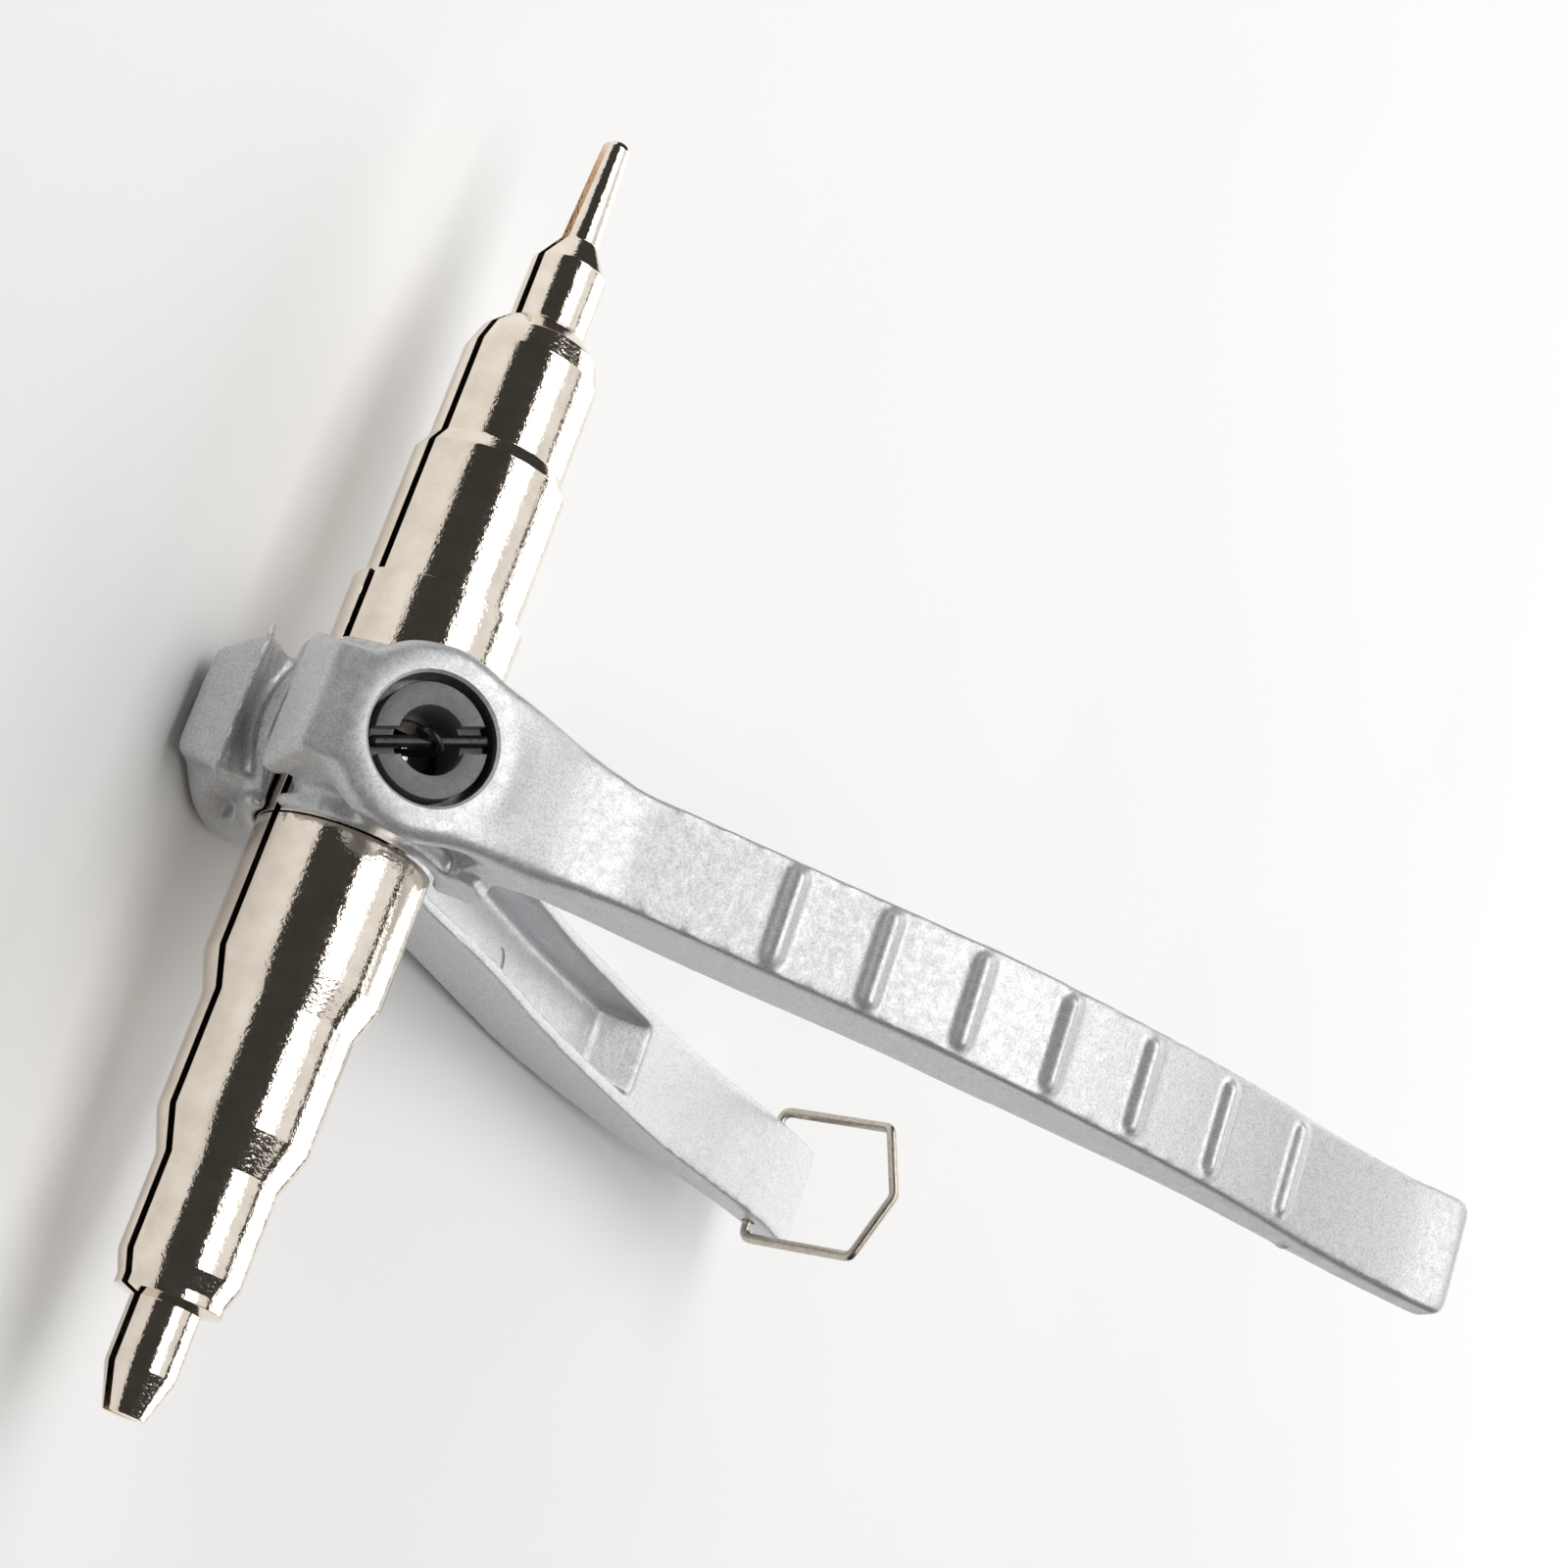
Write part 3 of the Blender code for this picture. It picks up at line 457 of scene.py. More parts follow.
@dataclass
class Shader:
    """A small hand for building one material's nodes."""

    name: str
    material: Material = field(init=False)

    def __post_init__(self) -> None:
        """Start a material with only a Principled shader and an output."""
        self.material = bpy.data.materials.new(self.name)
        self.material.use_nodes = True
        self.tree = self.material.node_tree
        self.shader = self.tree.nodes["Principled BSDF"]
        self.spot = self.tree.nodes.new("ShaderNodeTexCoord").outputs["Object"]

    def set(self, **values: float | tuple) -> None:
        """Set constants on the Principled shader, with _ for the spaces in a socket's name."""
        for key, value in values.items():
            self.shader.inputs[key.replace("_", " ")].default_value = value

    def noise(self, scale: float, detail: float = 2.0, rough: float = 0.5,
              stretch: Sequence[float] = (1, 1, 1)) -> Socket:
        """A noise over Object coordinates.

        Args:
            scale: features for each metre.
            detail: octaves.
            rough: how strong the small octaves are.
            stretch: factors on X, Y and Z.

        Returns:
            the noise's value socket.
        """
        mapping = self.tree.nodes.new("ShaderNodeMapping")
        mapping.inputs["Scale"].default_value = stretch
        self.tree.links.new(self.spot, mapping.inputs["Vector"])
        texture = self.tree.nodes.new("ShaderNodeTexNoise")
        texture.inputs["Scale"].default_value = scale
        texture.inputs["Detail"].default_value = detail
        texture.inputs["Roughness"].default_value = rough
        self.tree.links.new(mapping.outputs["Vector"], texture.inputs["Vector"])
        return texture.outputs["Fac"]

    def ramp(self, value: Socket, stops: Sequence[tuple[float, tuple]]) -> Socket:
        """Map a value to colours."""
        node = self.tree.nodes.new("ShaderNodeValToRGB")
        band = node.color_ramp
        while len(band.elements) < len(stops):
            band.elements.new(0.5)
        for element, (place, colour) in zip(band.elements, stops):
            element.position = place
            element.color = (*colour, 1.0)
        self.tree.links.new(value, node.inputs["Fac"])
        return node.outputs["Color"]

    def spread(self, value: Socket, low: float, high: float,
               start: float = 0.3, end: float = 0.7) -> Socket:
        """Map a noise's middle range to low..high."""
        node = self.tree.nodes.new("ShaderNodeMapRange")
        node.inputs["From Min"].default_value = start
        node.inputs["From Max"].default_value = end
        node.inputs["To Min"].default_value = low
        node.inputs["To Max"].default_value = high
        self.tree.links.new(value, node.inputs["Value"])
        return node.outputs["Result"]

    def bump(self, value: Socket, depth: float, strength: float,
             under: Socket | None = None) -> Socket:
        """Raise the surface by a value, on top of another bump if given."""
        node = self.tree.nodes.new("ShaderNodeBump")
        node.inputs["Distance"].default_value = depth
        node.inputs["Strength"].default_value = strength
        self.tree.links.new(value, node.inputs["Height"])
        if under is not None:
            self.tree.links.new(under, node.inputs["Normal"])
        return node.outputs["Normal"]

    def feed(self, socket: str, value: Socket) -> None:
        """Link a value to one socket of the Principled shader."""
        self.tree.links.new(value, self.shader.inputs[socket])


@dataclass(frozen=True)
class SilverPaint:
    """Satin silver paint over a die casting: fine flake, faint orange peel and cast unevenness."""

    light: tuple = (0.70, 0.71, 0.72)
    dark: tuple = (0.52, 0.53, 0.545)
    metallic: float = 0.5
    flake: float = 3600.0
    peel: float = 850.0
    wave: float = 140.0

    def made(self) -> Material:
        """Build the material."""
        mat = Shader("silver_paint")
        mat.set(Metallic=self.metallic, Coat_Weight=0.12, Coat_Roughness=0.4)
        flakes = mat.noise(self.flake, 2.0, 0.6)
        mat.feed("Base Color", mat.ramp(flakes, ((0.34, self.dark), (0.58, self.light))))
        mat.feed("Roughness", mat.spread(mat.noise(self.peel, 3.0), 0.30, 0.48))
        wave = mat.bump(mat.noise(self.wave, 3.0, 0.55), 0.16 * MM, 0.45)
        peel = mat.bump(mat.noise(self.peel, 4.0, 0.6), 0.055 * MM, 0.8, wave)
        mat.feed("Normal", mat.bump(flakes, 0.01 * MM, 0.6, peel))
        return mat.material


@dataclass(frozen=True)
class NickelPlate:
    """Polished nickel plate with a warm tint and a fine grain left by polishing."""

    light: tuple = (0.93, 0.845, 0.74)
    dark: tuple = (0.80, 0.71, 0.61)
    grain: float = 2300.0
    stains: float = 260.0

    def made(self) -> Material:
        """Build the material."""
        mat = Shader("nickel_plate")
        mat.set(Metallic=1.0)
        stains = mat.noise(self.stains, 4.0, 0.6)
        mat.feed("Base Color", mat.ramp(stains, ((0.3, self.dark), (0.62, self.light))))
        grain = mat.noise(self.grain, 1.5, 0.6)
        mat.feed("Roughness", mat.spread(grain, 0.04, 0.13))
        mat.feed("Normal", mat.bump(grain, 0.034 * MM, 0.8))
        return mat.material


@dataclass(frozen=True)
class DullSteel:
    """A turned or drawn steel surface with a chosen tone."""

    name: str
    light: tuple
    dark: tuple
    rough: Point
    metallic: float = 1.0
    grain: float = 2400.0
    depth: float = 0.012 * MM
    stretch: tuple = (1, 1, 1)

    def made(self) -> Material:
        """Build the material."""
        mat = Shader(self.name)
        mat.set(Metallic=self.metallic)
        grain = mat.noise(self.grain, 3.0, 0.6, self.stretch)
        mat.feed("Base Color", mat.ramp(grain, ((0.32, self.dark), (0.66, self.light))))
        mat.feed("Roughness", mat.spread(mat.noise(self.grain / 4, 2.0), *self.rough))
        mat.feed("Normal", mat.bump(grain, self.depth, 0.5))
        return mat.material


@dataclass(frozen=True)
class StudioFloor:
    """A pale matte floor with a barely seen mottle."""

    light: tuple = (0.965, 0.96, 0.95)
    dark: tuple = (0.945, 0.94, 0.93)

    def made(self) -> Material:
        """Build the material."""
        mat = Shader("studio_floor")
        mat.set(Roughness=0.75)
        mat.feed("Base Color", mat.ramp(mat.noise(6.0, 3.0), ((0.35, self.dark), (0.65, self.light))))
        return mat.material


def made_from(recipe: SilverPaint | NickelPlate | DullSteel) -> Material:
    """A field whose material is made when the set of finishes is."""
    return field(default_factory=recipe.made)


@dataclass
class Finishes:
    """The materials that the pieces share."""

    paint: Material = made_from(SilverPaint())
    nickel: Material = made_from(NickelPlate())
    machined: Material = made_from(DullSteel(
        "bare_casting", (0.30, 0.305, 0.315), (0.17, 0.175, 0.185), (0.3, 0.5), 0.8, 3200.0, 0.03 * MM))
    phosphate: Material = made_from(DullSteel(
        "dark_phosphate", (0.215, 0.22, 0.225), (0.14, 0.145, 0.15), (0.42, 0.62), 0.1, 5200.0, 0.02 * MM))
    oxide: Material = made_from(DullSteel(
        "black_oxide", (0.05, 0.05, 0.052), (0.022, 0.022, 0.024), (0.2, 0.36), 0.7, 1800.0))
    steel: Material = made_from(DullSteel(
        "ground_steel", (0.58, 0.58, 0.59), (0.44, 0.44, 0.45), (0.2, 0.38)))
    wire: Material = made_from(DullSteel(
        "spring_wire", (0.62, 0.565, 0.50), (0.47, 0.42, 0.36), (0.22, 0.42), 1.0, 1400.0))


# ---------------------------------------------------------------- the castings


@dataclass
class LeverCasting:
    """One die cast handle with its head, rims, boss, pocket and grip ribs."""

    outer: tuple = ((12.0, 13.3), (24.0, 12.4), (50.0, 12.35), (72.0, 12.3), (93.0, 10.0), (113.0, 5.9),
                    (130.0, 0.5), (142.0, -2.2), (151.3, -2.9))
    inner: tuple = ((12.0, 0.6), (24.0, 1.4), (45.0, 0.4), (67.0, 0.9), (88.0, 0.1), (108.0, -1.3),
                    (125.0, -4.6), (139.0, -7.3), (151.3, -8.0))
    half_start: float = 6.8 * MM
    half_end: float = 7.6 * MM
    end_corner: float = 2.2 * MM
    saddle_r: float = 10.6 * MM
    head_left: float = -14.8 * MM
    head_right: float = 15.8 * MM
    head_crown: tuple = ((-13.8, 16.9), (-12.0, 17.4), (-9.0, 18.1), (-5.0, 18.5), (5.0, 18.5),
                         (9.0, 18.0))
    head_inner: float = -0.75 * MM
    flash_y: float = 9.2 * MM
    flash_grains: int = 70
    head_half: float = 7.7 * MM
    face_half: float = 6.7 * MM
    head_top: float = 18.5 * MM
    rim_r: float = 13.0 * MM
    rim_span: Point = (8.9 * MM, 10.5 * MM)
    lug_outline: tuple = ((9.5, 1.5), (15.8, 2.0), (15.8, 5.8), (12.5, 9.5), (8.5, 9.8))
    lug_start: float = 6.0 * MM
    hollow_floor: float = 8.0 * MM
    post_half: float = 8.6 * MM
    boss_r: float = 11.5 * MM
    boss_foot_r: float = 12.4 * MM
    boss_shoulder: Point = (3.4 * MM, 1.3 * MM)
    neck_top: tuple = ((5.0, 18.5), (9.0, 18.2), (13.0, 17.2), (18.0, 15.7), (24.0, 14.7), (32.0, 13.9))
    counterbore_r: float = 7.4 * MM
    counterbore_y: float = 14.2 * MM
    stud_hole_r: float = 5.5 * MM
    pocket_half: float = 5.2 * MM
    pocket_start: float = 24.0 * MM
    pocket_end: float = 96.0 * MM
    pocket_lean: float = 5.0 * MM
    pocket_wall: float = 3.9 * MM
    ejector_x: float = 62.0 * MM
    ejector_r: float = 2.0 * MM
    ribs: int = 7
    rib_first: float = 47.7 * MM
    rib_pitch: float = 12.4 * MM
    rib_half: float = 6.2 * MM
    rib_r: float = 1.3 * MM
    rib_height: float = 0.9 * MM
    nub_x: float = 127.0 * MM
    nub_r: float = 0.9 * MM
    knuckle_r: float = 4.0 * MM
    knuckle_spans: tuple = ((4.0 * MM, 6.4 * MM), (-9.0 * MM, -6.7 * MM))
    web_span: Point = (0.4 * MM, 3.1 * MM)
    web_end: float = 13.5 * MM
    hinge_bore_r: float = 2.1 * MM
    bail_x: float = 141.0 * MM
    bail_hole_r: float = 1.05 * MM
    voxel: float = 0.42 * MM
    crown_rounds: int = 60
    crown_start: float = 8.6 * MM
    crown_end: float = 11.5 * MM + 20.0 * MM
    crown_foot: float = 12.4 * MM
    spline_steps: int = 8

    def __post_init__(self) -> None:
        """Draw the arm's two lines."""
        self.outer_line = smooth_line(self.outer, self.spline_steps)
        self.inner_line = smooth_line(self.inner, self.spline_steps)
        self.rake = Matrix.Rotation(LAYOUT.arm_rake, 4, "Z")

    def half_at(self, x: float) -> float:
        """The arm's half width at x."""
        start, end = self.outer_line[0].x, self.outer_line[-1].x
        return self.half_start + (self.half_end - self.half_start) * (x - start) / (end - start)

    def raked(self, bm: BMesh) -> BMesh:
        """Turn a shape from the arm frame into the casting frame."""
        bmesh.ops.transform(bm, matrix=self.rake, verts=bm.verts)
        return bm

    def arm(self) -> BMesh:
        """The arm: an outline extruded across, widened towards its free end, with round end corners."""
        outline = [tuple(p) for p in self.outer_line] + [tuple(p) for p in reversed(self.inner_line)]
        bm = extruded(outline, -1.0, 1.0)
        for vert in bm.verts:
            vert.co.z *= self.half_at(vert.co.x)
        end = self.outer_line[-1].x
        corners = [edge for edge in bm.edges
                   if all(v.co.x > end - 1e-6 and abs(v.co.z) > 0.001 for v in edge.verts)
                   and abs(edge.verts[0].co.z - edge.verts[1].co.z) < 1e-6]
        return self.raked(bevelled(bm, corners, self.end_corner, 6))

    def head(self) -> BMesh:
        """The head block, narrowed towards its outer face."""
        outline = [(self.head_left, self.flash_y), (-6.0 * MM, 7.0 * MM), (0, self.head_inner),
                   (self.head_right, self.head_inner), (self.head_right, 12.6 * MM)]
        outline += [(x * MM, y * MM) for x, y in reversed(self.head_crown)]
        bm = extruded(outline, -1.0, 1.0)
        for vert in bm.verts:
            share = max(0.0, (vert.co.y - self.flash_y) / (self.head_top - self.flash_y))
            vert.co.z *= self.head_half + (self.face_half - self.head_half) * share
        return bm

    def post(self) -> BMesh:
        """The taller wall at the blunt end."""
        half = self.post_half
        bm = block((self.head_left, self.flash_y, -half), (self.head_left + 2.8 * MM, 16.3 * MM, half))
        for vert in bm.verts:
            if vert.co.y > self.flash_y + 1.0 * MM:
                vert.co.z *= self.face_half / half
                if vert.co.x < self.head_left + 1.0 * MM:
                    vert.co.x += 1.0 * MM
        return bm

    def rim(self, sign: int) -> BMesh:
        """A thin rim that follows the saddle at one side of the head."""
        outline = round_points(self.rim_r, 6 * DEG, 150 * DEG, 40)
        outline += round_points(self.saddle_r - 1.0 * MM, 150 * DEG, 6 * DEG, 40)
        return extruded(outline, sign * self.rim_span[0], sign * self.rim_span[1])

    def lug(self, sign: int) -> BMesh:
        """The shoulder that carries a rim into the arm."""
        outline = [(x * MM, y * MM) for x, y in self.lug_outline]
        return extruded(outline, sign * self.lug_start, sign * self.rim_span[1])

    def boss(self) -> BMesh:
        """The round boss that the spring stud sits in."""
        face = LAYOUT.boss_face
        wide, deep = self.boss_shoulder
        shoulder = [(self.boss_r - wide + wide * math.cos(a * DEG), face - deep + deep * math.sin(a * DEG))
                    for a in range(0, 91, 9)]
        profile = [(0, 6.0 * MM), (self.boss_foot_r, 6.0 * MM), (self.boss_r + 0.2 * MM, 14.6 * MM)]
        profile += shoulder + [(0, face)]
        bm = turned_to_y(spun(profile, 96))
        for sign in (-1, 1):
            cut = [v for v in bm.verts if v.co.y < 15.0 * MM and sign * v.co.z > self.rim_span[1]]
            for vert in cut:
                vert.co.z = sign * self.rim_span[1]
        return bm

    def neck(self) -> BMesh:
        """Metal that carries the boss into the arm: it narrows and falls along a hollow curve."""
        top = smooth_line(self.neck_top, self.spline_steps)
        start, end = top[0].x, top[-1].x
        outline = [(start, 7.0 * MM)] + [tuple(p) for p in top] + [(end, 7.0 * MM)]
        bm = extruded(outline, -1.0, 1.0)
        for vert in bm.verts:
            share = (vert.co.x - start) / (end - start)
            vert.co.z *= self.half_start - 0.1 * MM + 3.3 * MM * (1 - share) ** 1.6
        return bm

    def pocket(self) -> BMesh:
        """The long core-out in the arm's inner side, with a leaning end wall."""
        last = self.pocket_end - self.pocket_lean
        floor = [(p.x, p.y - self.pocket_wall) for p in self.outer_line if self.pocket_start < p.x < last]
        mouth = height_on(self.inner_line, self.pocket_end)
        first = height_on(self.outer_line, self.pocket_start) - self.pocket_wall
        outline = [(self.pocket_start, first)] + floor
        outline += [(last, height_on(self.outer_line, last) - self.pocket_wall), (self.pocket_end, mouth),
                    (self.pocket_end + 1.0 * MM, mouth - 1.0 * MM), (self.pocket_start, mouth - 3.0 * MM)]
        return self.raked(extruded(outline, -self.pocket_half, self.pocket_half))

    def rib(self, index: int) -> BMesh:
        """One round-ended grip rib, half sunk in the outer face."""
        x = self.rib_first + index * self.rib_pitch
        bm = ball(self.rib_r, 24, 17)
        for vert in bm.verts:
            vert.co.z += math.copysign(self.rib_half - self.rib_r, vert.co.z)
        seat = height_on(self.outer_line, x) - self.rib_r + self.rib_height
        return self.raked(moved(bm, (x, seat, 0)))

    def nub(self, sign: int) -> BMesh:
        """A small catch on the arm's side that the bail snaps over."""
        bm = ball(self.nub_r, 20, 14)
        y = height_on(self.inner_line, self.nub_x) + 1.6 * MM
        return self.raked(moved(bm, (self.nub_x, y, sign * (self.half_at(self.nub_x) - 0.4 * MM))))

    def ejector_mark(self) -> BMesh:
        """A shallow round disc left by the die's ejector on the pocket's floor."""
        seat = height_on(self.outer_line, self.ejector_x) - self.pocket_wall
        bm = turned_to_y(cylinder(self.ejector_r, -0.6 * MM, 0.25 * MM, 40))
        return self.raked(moved(bm, (self.ejector_x, seat, -0.5 * MM)))

    def hollow(self, sign: int, way: int) -> BMesh:
        """One arched hollow between the rim and the boss, on one side of the head.

        Args:
            sign: which side of the head, along the mandrel.
            way: -1 towards the blunt end, 1 towards the arm.

        Returns:
            the cutter.
        """
        sill = round_points(self.rim_r - 0.2 * MM, 78 * DEG, 40 * DEG, 14)
        outline = sill + [(11.2 * MM, 13.2 * MM), (8.6 * MM, 14.8 * MM), (3.6 * MM, 15.0 * MM)]
        return extruded([(way * x, y) for x, y in outline],
                        sign * self.hollow_floor, sign * (self.rim_span[1] + 2.0 * MM))

    def knuckle(self, low: float, high: float) -> BMesh:
        """A hinge knuckle with its web to the head."""
        x, y = LAYOUT.hinge()
        foot, top = self.web_span
        outline = round_points(self.knuckle_r, 60 * DEG, 300 * DEG, 36, (x, y))
        outline += [(x + self.knuckle_r, y + foot), (self.web_end, y + foot), (self.web_end, y + top),
                    (x + self.knuckle_r, y + top)]
        bm = extruded(outline, low, high)
        rims = [edge for edge in bm.edges if abs(edge.verts[0].co.z - edge.verts[1].co.z) < 1e-7]
        return bevelled(bm, rims, 0.2 * MM, 2)

    def flash(self) -> BMesh:
        """A torn fin of metal where the die halves met at the blunt end."""
        shapes = []
        for i in range(self.flash_grains):
            share = i / (self.flash_grains - 1)
            tear = abs(math.sin(5.1 * i + 0.7)) * abs(math.sin(0.9 * i))
            bm = bmesh.new()
            bmesh.ops.create_icosphere(bm, subdivisions=1, radius=0.34 * MM)
            bmesh.ops.scale(bm, verts=bm.verts, vec=(1.0 + 2.0 * tear, 0.9, 1.0 + 0.4 * math.sin(3.3 * i)))
            place = (self.head_left - 0.25 * MM + 0.1 * MM * math.sin(2.3 * i),
                     self.flash_y + 0.12 * MM * math.sin(4.1 * i), -9.2 * MM + 18.4 * MM * share)
            shapes.append(moved(bm, place))
        return gathered(shapes)

    def blank(self) -> Object:
        """The casting with soft fillets, before ribs and machining, in its casting frame."""
        shapes = [self.arm(), self.head(), self.post(), self.boss(), self.neck()]
        for sign in (-1, 1):
            shapes += [self.rim(sign), self.lug(sign)]
        made = welded(piece("casting_blank", gathered(shapes)), self.voxel, 0)
        saddle = cylinder(self.saddle_r, -REACH, REACH, 96)
        hollows = [self.hollow(sign, way) for sign in (-1, 1) for way in (-1, 1)]
        carved(made, [self.pocket(), saddle] + hollows, Matrix.Identity(4))
        welded(made, self.voxel, 8)
        self.relax_crown(made)
        return made

    def crown_weight(self, place: Vector) -> float:
        """How far the skin at a place is drawn into the boss's wide fillet, from 0 to 1."""
        radius = math.hypot(place.x, place.z)
        rise = min(1.0, max(0.0, (radius - self.crown_start) / (2.0 * MM)))
        fall = min(1.0, max(0.0, (self.crown_end - radius) / (12.0 * MM)))
        height = min(1.0, max(0.0, (place.y - self.crown_foot) / (3.0 * MM)))
        return rise * fall * height

    def relax_crown(self, made: Object) -> None:
        """Draw the corner between boss, block and arm into a wide hollow fillet."""
        group = made.vertex_groups.new(name="crown")
        for vert in made.data.vertices:
            weight = self.crown_weight(vert.co)
            if weight > 0.0:
                group.add([vert.index], weight, "REPLACE")
        relax = made.modifiers.new("relax_crown", "SMOOTH")
        relax.factor = 0.5
        relax.iterations = self.crown_rounds
        relax.vertex_group = group.name
        settled(made)
        made.vertex_groups.clear()

    def build(self, side: Side, blank: Object, finishes: Finishes) -> Object:
        """Finish one casting.

        Args:
            side: which lever it is.
            blank: the shared casting before ribs and machining.
            finishes: the shared finishes.

        Returns:
            the piece in the row frame.
        """
        bm = bmesh.new()
        bm.from_mesh(blank.data)
        shapes = [bm] + [self.rib(i) for i in range(self.ribs)]
        shapes += [self.knuckle(low, high) for low, high in self.knuckle_spans]
        shapes += [self.nub(-1), self.nub(1)] if side is Side.FRONT else [self.flash()]
        made = welded(piece(side.prefix + "_lever_casting", gathered(shapes)), self.voxel, 3)
        carved(made, self.machining(side), Matrix.Identity(4))
        dressed(made, finishes.paint)
        self.bare(made, finishes.machined)
        made.data.transform(LAYOUT.casting(side))
        filed(made, side.lever, side.prefix + "_handle")
        return made

    def bare(self, made: Object, machined: Material) -> None:
        """Leave the saddle and the stepped stud hole unpainted."""
        made.data.materials.append(machined)
        for face in made.data.polygons:
            x, y, z = face.center
            in_saddle = math.hypot(x, y) < self.saddle_r + 0.02 * MM
            in_hole = y > 0 and math.hypot(x, z) < self.counterbore_r + 0.02 * MM
            if in_saddle or in_hole:
                face.material_index = 1

    def machining(self, side: Side) -> list[BMesh]:
        """The crisp cuts: saddle, stepped stud hole, hinge bore and, on the back lever, bail holes."""
        face = LAYOUT.boss_face
        saddle = cylinder(self.saddle_r, -REACH, REACH, 160)
        edge = 0.35 * MM
        hole = ((0, 2 * MM), (self.stud_hole_r, 2 * MM), (self.stud_hole_r, self.counterbore_y),
                (self.counterbore_r, self.counterbore_y), (self.counterbore_r, face - edge),
                (self.counterbore_r + edge, face), (self.counterbore_r + edge, face + 2 * MM),
                (0, face + 2 * MM))
        x, y = LAYOUT.hinge()
        bore = moved(cylinder(self.hinge_bore_r, -REACH, REACH, 48), (x, y, 0))
        cuts = [saddle, turned_to_y(spun(hole, 128)), bore, self.ejector_mark()]
        if side is Side.BACK:
            cuts += [self.bail_hole(-1), self.bail_hole(1)]
        return cuts

    def bail_pivot(self) -> Point:
        """The bail's pivot in the arm frame."""
        x = self.bail_x
        return (x, 0.5 * (height_on(self.outer_line, x) + height_on(self.inner_line, x)))

    def bail_hole(self, sign: int) -> BMesh:
        """The hole in the arm's side for one end of the bail."""
        face = self.half_at(self.bail_x)
        low, high = sorted((sign * (face - 2.8 * MM), sign * (face + 1 * MM)))
        bm = cylinder(self.bail_hole_r, low, high, 32)
        return self.raked(moved(bm, (*self.bail_pivot(), 0)))


# ---------------------------------------------------------------- the mandrel


